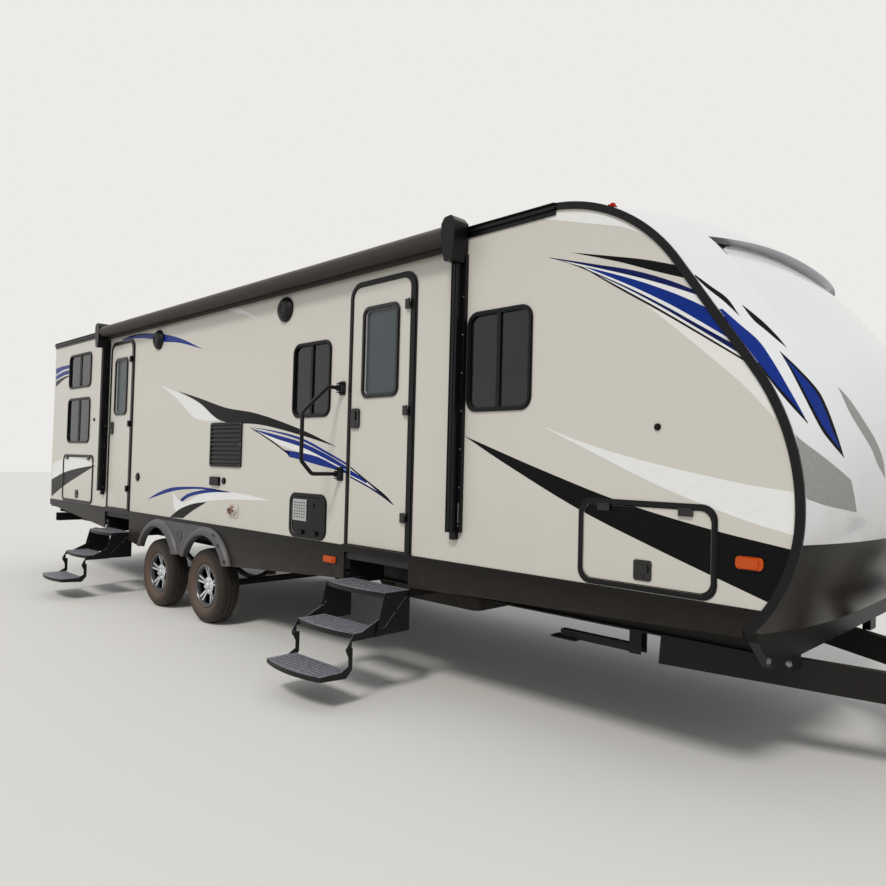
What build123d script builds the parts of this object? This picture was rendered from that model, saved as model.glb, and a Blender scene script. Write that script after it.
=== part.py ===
from build123d import *
import os
from collections import namedtuple
from math import asin, atan2, cos, degrees, hypot, radians, sin, sqrt

# Travel caravan on two axles, parked on its tongue jack, with doors, lids and steps on separate hinges.
# Millimetres. x is ahead of the tongue jack, y to the left, z above the ground; the door side is at -y.

# Body
BODY_LENGTH = 9283.0        # rear wall to the foremost point of the side walls
BODY_WIDTH = 2440.0
JACK_AHEAD = 667.0          # tongue jack ahead of the side walls' foremost point
WALL = 40.0                 # thickness of walls and doors
FLOOR_TOP_Z = 895.0
FLOOR_DEPTH = 95.0
WALL_TOP_Z = 2860.0
ROOF_EDGE_Z = 2922.0
ROOF_CROWN = 98.0

FRONT_X = -JACK_AHEAD
REAR_X = FRONT_X - BODY_LENGTH
HALF_WIDTH = BODY_WIDTH / 2
WALL_INNER_Y = HALF_WIDTH - WALL
FLOOR_Z = FLOOR_TOP_Z - FLOOR_DEPTH

# Front shell: side profile (t = 0) and centre profile (t = 1), each of tangent arcs and a line
Profile = namedtuple("Profile", "nose_x nose_z r_low r_front slope r_top")
SIDE_PROFILE = Profile(0.0, 1320.0, 774.0, 1116.0, 55.5, 988.0)
CENTRE_PROFILE = Profile(193.0, 1585.0, 1420.0, 1300.0, 52.0, 1600.0)
SHELL_FULLNESS = 3.0        # how squarely the shell swells from its edges to its centre
TOP_ARC_SHARE = 0.98        # the most of the rise above the front arc that the top arc may take
SHELL_THICK = 45.0          # at the shell's centre
SHELL_EDGE_THICK = 28.0     # where it meets the side walls, under the edge trim
SHELL_HALF = HALF_WIDTH - 1
SHELL_BOTTOM_Z = 1190.0     # white shell above, dark nose panel below
NOSE_BOTTOM_Z = 780.0
ROOF_END_X = FRONT_X - 1433.0

# Panel sunk into the shell below a brow: it turns back on a tighter arc and fades out at the nose
PANEL_TURN = 330.0          # how much less its front arc's radius is
PANEL_REACH = 5.0           # how far it would stand out at the nose
PANEL_THICK = 20.0
PANEL_TOP_Z = 2655.0
PANEL_SIDE = 970.0
PANEL_BOW_Z = 2300.0
PANEL_BOW = 1004.0
PANEL_WAIST_Z = 1945.0
PANEL_WAIST = 985.0
PANEL_FOOT_Z = 1500.0
PANEL_FOOT = 560.0
PANEL_RETURN = 26.0         # thickness of its side walls

# Running gear
TYRE_R = 333.5
TYRE_WIDTH = 205.0
TYRE_OUTER_Y = 1245.0
BEAD_R = 178.0
RIM_R = 190.0
RIM_WIDTH = 140.0
AXLE_X = (REAR_X + 3266.0, REAR_X + 4232.0)
WHEEL_Y = TYRE_OUTER_Y - TYRE_WIDTH / 2
AXLE_TUBE_R = 30.0
SPINDLE_R = 22.0
BEARING_GAP = 0.05
HUB_R = 78.0
DRUM_R = 118.0
SPOKE_WIDTH = 17.0
SPOKE_SPREAD = 8.5          # degrees each side of a pair's middle
SPOKE_PAIRS = 5
RAIL_Y = 770.0
RAIL_TOP_Z = FLOOR_Z
RAIL_HEIGHT = 200.0
RAIL_WIDTH = 90.0
RAIL_WEB = 8.0
RAIL_BOTTOM_Z = RAIL_TOP_Z - RAIL_HEIGHT

# Drawbar
TONGUE_REAR_X = FRONT_X - 863.0
TONGUE_TIP_X = 205.0
TONGUE_TIP_Y = 42.0
TONGUE_DROP = 115.0
TONGUE_HEIGHT = 150.0
TONGUE_WIDTH = 50.0
BALL_X = 330.0
BALL_R = 29.75              # socket for a 58.7 mm towing ball
SOCKET_DEPTH = 42.0
COUPLER_BOTTOM_Z = 400.0
JACK_R = 30.0
JACK_LEG_R = 24.0
JACK_BORE_R = 24.5
FOOT_R = 80.0

# Side openings: stations from the rear wall, heights above the ground
Opening = namedtuple("Opening", "x0 x1 z0 z1")
DOOR_TRIM = 33.0
HINGE_TRIM = 25.0            # extra width of a door frame on its hinge side
DOORWAY_CORNER = 80.0
DOOR_GAP = 6.0
MAIN_DOORWAY = Opening(REAR_X + 6262, REAR_X + 6866, FLOOR_TOP_Z, 2718.0)
REAR_DOORWAY = Opening(REAR_X + 1916, REAR_X + 2470, FLOOR_TOP_Z, 2718.0)
DOOR_SILL = 15.0
MAIN_DOOR_PANE = Opening(REAR_X + 6405, REAR_X + 6730, 1958.0, 2535.0)
REAR_DOOR_PANE = Opening(REAR_X + 2052, REAR_X + 2335, 1958.0, 2535.0)
HINGE_STANDOFF = 26.0       # hinge axis outside the wall's face
LID_STANDOFF = 14.0
STAND_SWING = 48.0           # degrees to the ground
RIGHT_WINDOWS = (
    Opening(REAR_X + 560, REAR_X + 1282, 2305.0, 2715.0),
    Opening(REAR_X + 560, REAR_X + 1282, 1630.0, 2170.0),
    Opening(REAR_X + 5542, REAR_X + 6012, 1820.0, 2378.0),
    Opening(REAR_X + 7380, REAR_X + 7852, 1810.0, 2392.0),
)
LEFT_WINDOWS = (
    Opening(REAR_X + 560, REAR_X + 1282, 2305.0, 2715.0),
    Opening(REAR_X + 560, REAR_X + 1282, 1630.0, 2170.0),
    Opening(REAR_X + 4900, REAR_X + 6100, 1820.0, 2378.0),
    Opening(REAR_X + 7380, REAR_X + 7852, 1810.0, 2392.0),
)
WINDOW_CORNER = 70.0
MULLION = 26.0
LID_TRIM = 26.0
LID_CORNER = 60.0
REAR_HATCH = Opening(REAR_X + 462, REAR_X + 1430, 925.0, 1455.0)
FRONT_HATCH = Opening(FRONT_X - 1070, FRONT_X - 385, 925.0, 1310.0)
HEATER_HATCH = Opening(REAR_X + 5560, REAR_X + 5985, 925.0, 1212.0)

# Skirt lower edge on the door side: station from the rear wall, height
SKIRT_EDGE = ((0, 824), (1842, 667), (2750, 554), (4620, 554), (6072, 649), (7437, 711), (9100, 768))
SKIRT_PROUD = 2.0
SKIRT_THICK = 14.0

# Fenders
FENDER_R = 478.0
FENDER_INNER_R = 400.0
FENDER_CENTRE_Z = 385.0
FENDER_BOTTOM_Z = 560.0
FENDER_TOP_Z = 863.0
FENDER_PROUD = 52.0
FENDER_WEB = 12.0

# Folding steps: tread offsets from one to the next, and the pivots between them
TREAD_DEPTH = 215.0
TREAD_BOW = 42.0
TREAD_THICK = 30.0
STEP_RISE = 222.0
STEP_RUN = 235.0
TOP_TREAD_Z = 665.0
TOP_TREAD_Y = -1280.0
STEP_CHEEK = 6.0
STEP_CHEEK_GAP = 5.5
STEP_TRAVEL = 195.0
STEP_FRAME_Y = -860.0


def roof_z(y):
    """Height of the roof's crowned top at a distance from the centre line."""
    radius = (HALF_WIDTH**2 + ROOF_CROWN**2) / (2 * ROOF_CROWN)
    return ROOF_EDGE_Z + ROOF_CROWN - radius + sqrt(radius**2 - y**2)


def profile_at(y):
    """The shell's profile between its side and centre profiles."""
    t = 1 - min(abs(y) / SHELL_HALF, 1.0) ** SHELL_FULLNESS
    return Profile(*[side + t * (centre - side) for side, centre in zip(SIDE_PROFILE, CENTRE_PROFILE)])


def shell_depth(y):
    """The shell's thickness, less towards its side edges."""
    return SHELL_THICK + (SHELL_EDGE_THICK - SHELL_THICK) * (abs(y) / SHELL_HALF) ** 8


def panel_profile(y):
    """The sunk panel's profile."""
    form = profile_at(y)
    return form._replace(nose_x=form.nose_x + PANEL_REACH, r_front=form.r_front - PANEL_TURN)


def profile_points(form, top_z, inset):
    """Tangent points and arc middles of one profile, moved inwards by an inset."""
    nose_x = FRONT_X + form.nose_x
    turn = radians(90 - form.slope)
    slope = radians(form.slope)
    front_c = Vector(nose_x - form.r_front, form.nose_z)
    line_start = front_c + Vector(cos(turn), sin(turn)) * form.r_front
    top_rise = top_z - line_start.Y
    r_top = min(form.r_top, TOP_ARC_SHARE * top_rise / (1 - cos(slope)))
    rise = top_rise - r_top * (1 - cos(slope))
    line_end = line_start + Vector(-cos(slope), sin(slope)) * (rise / sin(slope))
    top_c = line_end - Vector(sin(slope), cos(slope)) * r_top
    low_c = Vector(nose_x - form.r_low, form.nose_z)
    low_turn = asin((form.nose_z - NOSE_BOTTOM_Z) / form.r_low)

    def on(centre, radius, angle):
        return centre + Vector(cos(angle), sin(angle)) * (radius - inset)

    return {
        "start": Vector(ROOF_END_X, top_z - inset),
        "top": on(top_c, r_top, radians(90)),
        "top_mid": on(top_c, r_top, radians(90) - slope / 2),
        "line_end": on(top_c, r_top, turn),
        "line_start": on(front_c, form.r_front, turn),
        "front_mid": on(front_c, form.r_front, turn / 2),
        "nose": on(front_c, form.r_front, 0.0),
        "low_mid": on(low_c, form.r_low, -low_turn / 2),
        "bottom": on(low_c, form.r_low, -low_turn),
    }


def trace_profile(p):
    """Draw a profile's edges from the roof's end to the nose's lower edge."""
    Line(p["start"], p["top"])
    ThreePointArc(p["top"], p["top_mid"], p["line_end"])
    Line(p["line_end"], p["line_start"])
    ThreePointArc(p["line_start"], p["front_mid"], p["nose"])
    ThreePointArc(p["nose"], p["low_mid"], p["bottom"])


def upright(y):
    """A vertical drawing plane across the caravan: sketch x is x, sketch y is z."""
    return Plane(origin=(0, y, 0), x_dir=(1, 0, 0), z_dir=(0, -1, 0))


def cross_section(x):
    """A vertical drawing plane along the caravan: sketch x is y, sketch y is z."""
    return Plane(origin=(x, 0, 0), x_dir=(0, 1, 0), z_dir=(1, 0, 0))


def centre_of(box):
    return ((box.x0 + box.x1) / 2, (box.z0 + box.z1) / 2)


def grown(box, by):
    return Opening(box.x0 - by, box.x1 + by, box.z0 - by, box.z1 + by)


def rounded(box, corner, mode=Mode.ADD):
    """A rounded rectangle that fills an opening."""
    with Locations(centre_of(box)):
        return RectangleRounded(box.x1 - box.x0, box.z1 - box.z0, corner, mode=mode)


def square(box, mode=Mode.ADD):
    with Locations(centre_of(box)):
        return Rectangle(box.x1 - box.x0, box.z1 - box.z0, mode=mode)


def arched(box, corner, mode=Mode.ADD):
    """A doorway's outline: rounded at the top, square at the foot."""
    if mode == Mode.ADD:
        rounded(box, corner)
        return square(box._replace(z1=box.z0 + 2 * corner))
    rounded(box, corner, mode)
    return square(box._replace(z1=box.z0 + 2 * corner), mode)


pieces = {}
side_form = profile_at(HALF_WIDTH)

# Floor and walls

FLOOR_HALF = HALF_WIDTH - 15.0


def shell_inner_x(y, z):
    """The inside face of the shell below its foremost point, at one height."""
    form = profile_at(y)
    reach = sqrt((form.r_low - SHELL_THICK) ** 2 - (form.nose_z - z) ** 2)
    return FRONT_X + form.nose_x - form.r_low + reach


with BuildPart() as floor:
    front_edge = []
    for share in (-1.0, -0.97, -0.9, -0.75, -0.5, -0.25, 0.0, 0.25, 0.5, 0.75, 0.9, 0.97, 1.0):
        front_edge.append((shell_inner_x(share * FLOOR_HALF, FLOOR_Z) - 3, share * FLOOR_HALF))
    with BuildSketch(Plane.XY.offset(FLOOR_Z)):
        with BuildLine():
            Polyline((REAR_X, -FLOOR_HALF), *front_edge, (REAR_X, FLOOR_HALF), (REAR_X, -FLOOR_HALF))
        make_face()
    extrude(amount=FLOOR_DEPTH)
pieces["floor"] = floor


def side_wall(windows, doorways, hatches):
    """One sandwich wall with its windows, doorways and hatches cut through."""
    p = profile_points(side_form, ROOF_EDGE_Z, SHELL_EDGE_THICK + 1)
    with BuildPart() as wall:
        with BuildSketch(upright(-WALL_INNER_Y)):
            with BuildLine():
                trace_profile(p)
                Polyline(
                    p["bottom"],
                    (FRONT_X - 500, NOSE_BOTTOM_Z),
                    (FRONT_X - 500, FLOOR_TOP_Z),
                    (REAR_X, FLOOR_TOP_Z),
                    (REAR_X, WALL_TOP_Z),
                    (ROOF_END_X, WALL_TOP_Z),
                    p["start"],
                )
            make_face()
            square(Opening(FRONT_X - 900, FRONT_X + 100, 0, FLOOR_TOP_Z), Mode.SUBTRACT)
            for pane in windows:
                rounded(pane, WINDOW_CORNER, Mode.SUBTRACT)
            for doorway in doorways:
                arched(doorway, DOORWAY_CORNER, Mode.SUBTRACT)
            for hatch in hatches:
                rounded(hatch, LID_CORNER, Mode.SUBTRACT)
        extrude(amount=WALL)
    return wall


side_wall_right = side_wall(RIGHT_WINDOWS, (MAIN_DOORWAY, REAR_DOORWAY), (REAR_HATCH, FRONT_HATCH, HEATER_HATCH))
pieces["side_wall_right"] = side_wall_right

left_blank = side_wall(LEFT_WINDOWS, (), (FRONT_HATCH,))
with BuildPart() as side_wall_left:
    add(left_blank.part.mirror(Plane.XZ))
pieces["side_wall_left"] = side_wall_left

with BuildPart() as rear_wall:
    with BuildSketch(cross_section(REAR_X)):
        with Locations((0, (FLOOR_TOP_Z + WALL_TOP_Z) / 2)):
            Rectangle(2 * WALL_INNER_Y - 1, WALL_TOP_Z - FLOOR_TOP_Z)
    extrude(amount=WALL)
pieces["rear_wall"] = rear_wall

# Roof: flat ceiling below, crowned top above, cut for the opening vent

VENT_SIZE = 400.0
VENT_X = REAR_X + 6900.0
VENT_COLLAR = 45.0

with BuildPart() as roof:
    with BuildSketch(cross_section(REAR_X)):
        with BuildLine():
            ThreePointArc((-HALF_WIDTH, ROOF_EDGE_Z), (0, roof_z(0)), (HALF_WIDTH, ROOF_EDGE_Z))
            Polyline(
                (HALF_WIDTH, ROOF_EDGE_Z),
                (HALF_WIDTH, WALL_TOP_Z),
                (-HALF_WIDTH, WALL_TOP_Z),
                (-HALF_WIDTH, ROOF_EDGE_Z),
            )
        make_face()
    extrude(amount=ROOF_END_X - REAR_X - 1)
    with BuildSketch(Plane.XY.offset(WALL_TOP_Z)):
        with Locations((VENT_X, 0)):
            Rectangle(VENT_SIZE, VENT_SIZE)
    extrude(amount=ROOF_EDGE_Z + ROOF_CROWN + VENT_COLLAR - WALL_TOP_Z)
    with BuildSketch(Plane.XY.offset(WALL_TOP_Z)):
        with Locations((VENT_X, 0)):
            Rectangle(VENT_SIZE - 44, VENT_SIZE - 44)
    extrude(amount=ROOF_EDGE_Z + ROOF_CROWN + VENT_COLLAR - WALL_TOP_Z, mode=Mode.SUBTRACT)
pieces["roof"] = roof

# Front shell and nose panel: one lofted form with a panel sunk into it, parted at the shell's lower edge

SECTION_SHARES = (-1.0, -0.9, -0.6, 0.0, 0.6, 0.9, 1.0)

with BuildPart() as front_form:
    for share in SECTION_SHARES:
        y = share * SHELL_HALF
        outer = profile_points(profile_at(y), roof_z(y), 0)
        inner = profile_points(profile_at(y), roof_z(y), shell_depth(y))
        with BuildSketch(upright(y)):
            with BuildLine():
                trace_profile(outer)
                Line(outer["bottom"], inner["bottom"])
                trace_profile(inner)
                Line(inner["start"], outer["start"])
            make_face()
    loft()

# The sunk panel's outline, seen from the front
with BuildSketch() as panel_outline:
    with BuildLine():
        Line((-PANEL_FOOT, PANEL_FOOT_Z), (-PANEL_WAIST, PANEL_WAIST_Z))
        ThreePointArc((-PANEL_WAIST, PANEL_WAIST_Z), (-PANEL_BOW, PANEL_BOW_Z), (-PANEL_SIDE, PANEL_TOP_Z))
        ThreePointArc((-PANEL_SIDE, PANEL_TOP_Z), (0, PANEL_TOP_Z + 20), (PANEL_SIDE, PANEL_TOP_Z))
        ThreePointArc((PANEL_SIDE, PANEL_TOP_Z), (PANEL_BOW, PANEL_BOW_Z), (PANEL_WAIST, PANEL_WAIST_Z))
        Line((PANEL_WAIST, PANEL_WAIST_Z), (PANEL_FOOT, PANEL_FOOT_Z))
        Line((PANEL_FOOT, PANEL_FOOT_Z), (-PANEL_FOOT, PANEL_FOOT_Z))
    make_face()

PANEL_START_X = ROOF_END_X + 250.0
PANEL_END_X = FRONT_X + 400.0


def panel_band(outer_inset, inner_inset, grow):
    """What lies between the shell's skin and the sunk panel's, inside the panel's outline."""
    with BuildPart() as band:
        for share in SECTION_SHARES:
            y = share * SHELL_HALF
            outer = profile_points(profile_at(y), roof_z(y), outer_inset)
            inner = profile_points(panel_profile(y), roof_z(y), inner_inset)
            with BuildSketch(upright(y)):
                with BuildLine():
                    trace_profile(outer)
                    Line(outer["bottom"], inner["bottom"])
                    trace_profile(inner)
                    Line(inner["start"], outer["start"])
                make_face()
        loft()
        with BuildSketch(cross_section(PANEL_START_X)):
            if grow:
                offset(panel_outline.sketch, amount=grow, kind=Kind.INTERSECTION)
            else:
                add(panel_outline.sketch)
        extrude(amount=PANEL_END_X - PANEL_START_X, mode=Mode.INTERSECT)
    return band


panel_plug = panel_band(PANEL_THICK * 0.6, PANEL_THICK, PANEL_RETURN)
panel_pocket = panel_band(-PANEL_THICK, 0, 0)

with BuildPart() as front_cap:
    add(front_form.part)
    split(bisect_by=Plane.XY.offset(SHELL_BOTTOM_Z), keep=Keep.TOP)
    add(panel_plug.part)
    add(panel_pocket.part, mode=Mode.SUBTRACT)
pieces["front_cap"] = front_cap

with BuildPart() as nose_panel:
    add(front_form.part)
    split(bisect_by=Plane.XY.offset(SHELL_BOTTOM_Z), keep=Keep.BOTTOM)
pieces["nose_panel"] = nose_panel

# Edge trims: a bead round the front of each side wall and the gutter along the roof

TRIM_PROUD = 9.0
TRIM_BAND = 30.0
TRIM_OUT = 8.0
TRIM_LIP = 5.0
TRIM_LIP_GAP = 4.5
GUTTER_DEPTH = 22.0
GUTTER_END_X = ROOF_END_X + 150.0

outer = profile_points(side_form, ROOF_EDGE_Z, -TRIM_PROUD)
with BuildPart() as edge_trims:
    for y, inset, depth in (
        (-HALF_WIDTH - 0.5, TRIM_BAND, TRIM_OUT - 0.5),
        (-SHELL_HALF + TRIM_LIP, -TRIM_LIP_GAP, TRIM_LIP + 2),
    ):
        inner = profile_points(side_form, ROOF_EDGE_Z, inset)
        with BuildSketch(upright(y)):
            with BuildLine():
                trace_profile(outer)
                Line(outer["bottom"], inner["bottom"])
                trace_profile(inner)
                Line(inner["start"], outer["start"])
            make_face()
        extrude(amount=depth)
    with BuildSketch(upright(-HALF_WIDTH - 0.5)):
        square(Opening(REAR_X, GUTTER_END_X, WALL_TOP_Z, ROOF_EDGE_Z + 3))
    extrude(amount=TRIM_OUT)
    with BuildSketch(upright(-HALF_WIDTH - 0.5)):
        square(Opening(REAR_X, GUTTER_END_X, WALL_TOP_Z + 28, WALL_TOP_Z + 34))
        square(Opening(REAR_X, GUTTER_END_X, ROOF_EDGE_Z - 3, ROOF_EDGE_Z + 3))
    extrude(amount=GUTTER_DEPTH)
    with BuildSketch(upright(-HALF_WIDTH - GUTTER_DEPTH + 3)):
        square(Opening(REAR_X, GUTTER_END_X, WALL_TOP_Z + 28, WALL_TOP_Z + 46))
    extrude(amount=3)
    mirror(about=Plane.XZ)
pieces["edge_trims"] = edge_trims

# Lower skirts, with step wells and wheel arches

STEP_WELL_TOP_Z = FLOOR_TOP_Z - 45
STEP_WELL_MARGIN = 35.0
TREAD_HALF = 300.0


def skirt(step_centres):
    """One lower side panel; its lower edge rises fore and aft of the wheels."""
    top = FLOOR_TOP_Z - 1
    p = profile_points(side_form, ROOF_EDGE_Z, TRIM_BAND + 1)
    with BuildPart() as panel:
        with BuildSketch(upright(-HALF_WIDTH + SKIRT_THICK - SKIRT_PROUD)):
            with BuildLine():
                Polyline(
                    *[(REAR_X + x, z) for x, z in SKIRT_EDGE],
                    (FRONT_X, SKIRT_EDGE[-1][1]),
                    (FRONT_X, top),
                    (REAR_X, top),
                    (REAR_X + SKIRT_EDGE[0][0], SKIRT_EDGE[0][1]),
                )
            make_face()
            with BuildLine():
                trace_profile(p)
                Polyline(
                    p["bottom"],
                    (p["bottom"].X, 0),
                    (REAR_X, 0),
                    (REAR_X, p["start"].Y),
                    p["start"],
                )
            make_face(mode=Mode.INTERSECT)
            for x in AXLE_X:
                with Locations((x, FENDER_CENTRE_Z)):
                    Circle(FENDER_INNER_R + 4, mode=Mode.SUBTRACT)
            for x in step_centres:
                with Locations((x, STEP_WELL_TOP_Z - 250)):
                    Rectangle(2 * (TREAD_HALF + STEP_WELL_MARGIN), 500, mode=Mode.SUBTRACT)
        extrude(amount=SKIRT_THICK)
        # a raised joint strip covers the seam under the wall
        with BuildSketch(upright(-HALF_WIDTH - SKIRT_PROUD + 1)):
            square(Opening(REAR_X + 4, p["bottom"].X + 10, top - 14, top))
        extrude(amount=5)
    return panel


MAIN_STEP_X = (MAIN_DOORWAY.x0 + MAIN_DOORWAY.x1) / 2
REAR_STEP_X = (REAR_DOORWAY.x0 + REAR_DOORWAY.x1) / 2
skirt_right = skirt((MAIN_STEP_X, REAR_STEP_X))
skirt_left = skirt(())
with BuildPart() as skirts:
    add(skirt_right.part)
    add(skirt_left.part.mirror(Plane.XZ))
pieces["skirts"] = skirts

# Fenders: two rounded flares that meet in one leg, with a flat web and a blank boss between

ARCH_GAP_X = (AXLE_X[0] + AXLE_X[1]) / 2
FENDER_Y = -HALF_WIDTH - SKIRT_PROUD - 0.5
WEB_HALF = ARCH_GAP_X - AXLE_X[0] - sqrt(FENDER_INNER_R**2 - (FENDER_BOTTOM_Z - FENDER_CENTRE_Z) ** 2)

with BuildPart() as flare:
    # drawn beside the axle's line and turned about it; the crest falls away towards the outer edge
    with BuildSketch(Plane.XY):
        with BuildLine():
            Line((FENDER_INNER_R, 0), (FENDER_INNER_R, -FENDER_PROUD + 10))
            ThreePointArc(
                (FENDER_INNER_R, -FENDER_PROUD + 10),
                (FENDER_INNER_R + 6, -FENDER_PROUD + 2),
                (FENDER_INNER_R + 18, -FENDER_PROUD),
            )
            ThreePointArc(
                (FENDER_INNER_R + 18, -FENDER_PROUD),
                (FENDER_INNER_R + 55, -FENDER_PROUD + 12),
                (FENDER_R, -8),
            )
            Polyline((FENDER_R, -8), (FENDER_R, 0), (FENDER_INNER_R, 0))
        make_face()
    revolve(axis=Axis.Y)

with BuildPart() as fenders:
    for x in AXLE_X:
        add(flare.part.moved(Location((x, FENDER_Y, FENDER_CENTRE_Z))))
    with BuildSketch(upright(FENDER_Y)):
        with BuildLine():
            Polyline(
                (AXLE_X[0], FENDER_TOP_Z),
                (AXLE_X[1], FENDER_TOP_Z),
                (ARCH_GAP_X + WEB_HALF, FENDER_BOTTOM_Z),
                (ARCH_GAP_X - WEB_HALF, FENDER_BOTTOM_Z),
                (AXLE_X[0], FENDER_TOP_Z),
            )
        make_face()
    extrude(amount=FENDER_WEB)
    with BuildSketch(upright(FENDER_Y - FENDER_WEB)):
        with Locations((ARCH_GAP_X - 30, 738)):
            Circle(50)
            Circle(38, mode=Mode.SUBTRACT)
    extrude(amount=6)
    with BuildSketch(upright(FENDER_Y + 1)):
        with Locations(*[(x, FENDER_CENTRE_Z) for x in AXLE_X]):
            Circle(FENDER_INNER_R)
        with Locations((ARCH_GAP_X, FENDER_BOTTOM_Z - 450)):
            Rectangle(2800, 900)
    extrude(amount=FENDER_PROUD + 2, mode=Mode.SUBTRACT)
    mirror(about=Plane.XZ)
pieces["fenders"] = fenders

# Chassis: two rolled rails, outriggers, a dropped drawbar

RAIL_START_X = REAR_X + 20
RAIL_END_X = FRONT_X - 240


def beam_section():
    """An I-section, the rail's height tall."""
    Rectangle(RAIL_WIDTH, RAIL_HEIGHT)
    with Locations((RAIL_WIDTH / 2, 0), (-RAIL_WIDTH / 2, 0)):
        Rectangle(RAIL_WIDTH - RAIL_WEB, RAIL_HEIGHT - 20, mode=Mode.SUBTRACT)


with BuildPart() as chassis_rails:
    with BuildSketch(cross_section(RAIL_START_X)):
        with Locations((-RAIL_Y, RAIL_TOP_Z - RAIL_HEIGHT / 2)):
            beam_section()
    extrude(amount=RAIL_END_X - RAIL_START_X)
    mirror(about=Plane.XZ)
pieces["chassis_rails"] = chassis_rails

OUTRIGGER_X = [REAR_X + x for x in (300, 1250, 2600, 4900, 5700, 7300, 8350)]
STAND_X = {"rear": REAR_X + 850, "front": REAR_X + 8290}
STAND_PIVOT_Z = RAIL_BOTTOM_Z - 100
STAND_LENGTH = 500.0
STAND_PIN_R = 8.0
STAND_EAR_Y = 33.0
PIN_GAP = 0.3

with BuildPart() as frame_brackets:
    for x in OUTRIGGER_X:
        with BuildSketch(cross_section(x)):
            with BuildLine():
                Polyline(
                    (-RAIL_Y - RAIL_WIDTH / 2 - 0.5, RAIL_TOP_Z - 1),
                    (-FLOOR_HALF + 15, RAIL_TOP_Z - 1),
                    (-FLOOR_HALF + 15, RAIL_TOP_Z - 50),
                    (-RAIL_Y - RAIL_WIDTH / 2 - 0.5, RAIL_TOP_Z - 130),
                    (-RAIL_Y - RAIL_WIDTH / 2 - 0.5, RAIL_TOP_Z - 1),
                )
            make_face()
        extrude(amount=6)
    for x in STAND_X.values():
        with BuildSketch(Plane.XY.offset(STAND_PIVOT_Z - 25)):
            with Locations((x, -RAIL_Y - STAND_EAR_Y), (x, -RAIL_Y + STAND_EAR_Y)):
                Rectangle(70, 6)
        extrude(amount=RAIL_BOTTOM_Z - STAND_PIVOT_Z + 25 - 0.5)
        with BuildSketch(upright(-RAIL_Y + STAND_EAR_Y + 6)):
            with Locations((x, STAND_PIVOT_Z)):
                Circle(STAND_PIN_R)
        extrude(amount=2 * STAND_EAR_Y + 12)
    mirror(about=Plane.XZ)
    for x in (MAIN_STEP_X, REAR_STEP_X):
        for place in (x - TREAD_HALF - STEP_CHEEK - 12, x + TREAD_HALF + STEP_CHEEK + 6):
            with BuildSketch(cross_section(place)):
                square(Opening(-FLOOR_HALF + 25, STEP_FRAME_Y, TOP_TREAD_Z - 45, FLOOR_Z - 1))
            extrude(amount=6)
pieces["frame_brackets"] = frame_brackets

UNDERBELLY_Z = RAIL_BOTTOM_Z + 12
TANK_DROP = 130.0

with BuildPart() as underbelly:
    with BuildSketch(Plane.XY.offset(UNDERBELLY_Z)):
        with Locations(((RAIL_START_X + RAIL_END_X) / 2, 0)):
            Rectangle(RAIL_END_X - RAIL_START_X - 40, 2 * RAIL_Y - RAIL_WEB - 4)
    extrude(amount=12)
    for x0, x1 in ((REAR_X + 6150, REAR_X + 7050),):
        with BuildSketch(Plane.XY.offset(UNDERBELLY_Z)):
            with Locations(((x0 + x1) / 2, 0)):
                RectangleRounded(x1 - x0, 2 * RAIL_Y - 120, 60)
        with BuildSketch(Plane.XY.offset(UNDERBELLY_Z - TANK_DROP)):
            with Locations(((x0 + x1) / 2, 0)):
                RectangleRounded(x1 - x0 - 60, 2 * RAIL_Y - 180, 60)
        loft()
pieces["underbelly"] = underbelly

TONGUE_Z = RAIL_BOTTOM_Z - TONGUE_HEIGHT / 2
tongue_run = Vector(TONGUE_TIP_X - TONGUE_REAR_X, RAIL_Y - TONGUE_TIP_Y, -TONGUE_DROP)
HEADER_X = RAIL_END_X + 1
HEADER_THICK = 45.0
HEADER_HALF = 1170.0
HEADER_FOOT_HALF = 1000.0
JACK_PLATE_Z = 505.0

with BuildPart() as a_frame:
    rail_plane = Plane(
        origin=(TONGUE_REAR_X, -RAIL_Y, TONGUE_Z - 2),
        x_dir=tongue_run.cross(Vector(0, 0, 1)),
        z_dir=tongue_run,
    )
    with BuildSketch(rail_plane):
        Rectangle(TONGUE_WIDTH, TONGUE_HEIGHT)
    extrude(amount=tongue_run.length)
    mirror(about=Plane.XZ)
    with BuildSketch(cross_section(HEADER_X)):
        with BuildLine():
            Polyline(
                (-HEADER_HALF, NOSE_BOTTOM_Z - 1),
                (-HEADER_HALF, NOSE_BOTTOM_Z - 40),
                (-HEADER_FOOT_HALF, RAIL_BOTTOM_Z + 1),
                (HEADER_FOOT_HALF, RAIL_BOTTOM_Z + 1),
                (HEADER_HALF, NOSE_BOTTOM_Z - 40),
                (HEADER_HALF, NOSE_BOTTOM_Z - 1),
                (-HEADER_HALF, NOSE_BOTTOM_Z - 1),
            )
        make_face()
    extrude(amount=HEADER_THICK)
    with BuildSketch(cross_section(HEADER_X)):
        with Locations((-RAIL_Y + 90, RAIL_BOTTOM_Z - 20), (RAIL_Y - 90, RAIL_BOTTOM_Z - 20)):
            Rectangle(120, 90)
    extrude(amount=HEADER_THICK)
    with BuildSketch(Plane.XY.offset(JACK_PLATE_Z - 60)):
        with Locations((0, 0)):
            Rectangle(150, 2 * TONGUE_TIP_Y + 150)
        Circle(JACK_R + 1, mode=Mode.SUBTRACT)
    extrude(amount=10)
pieces["a_frame"] = a_frame

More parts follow.
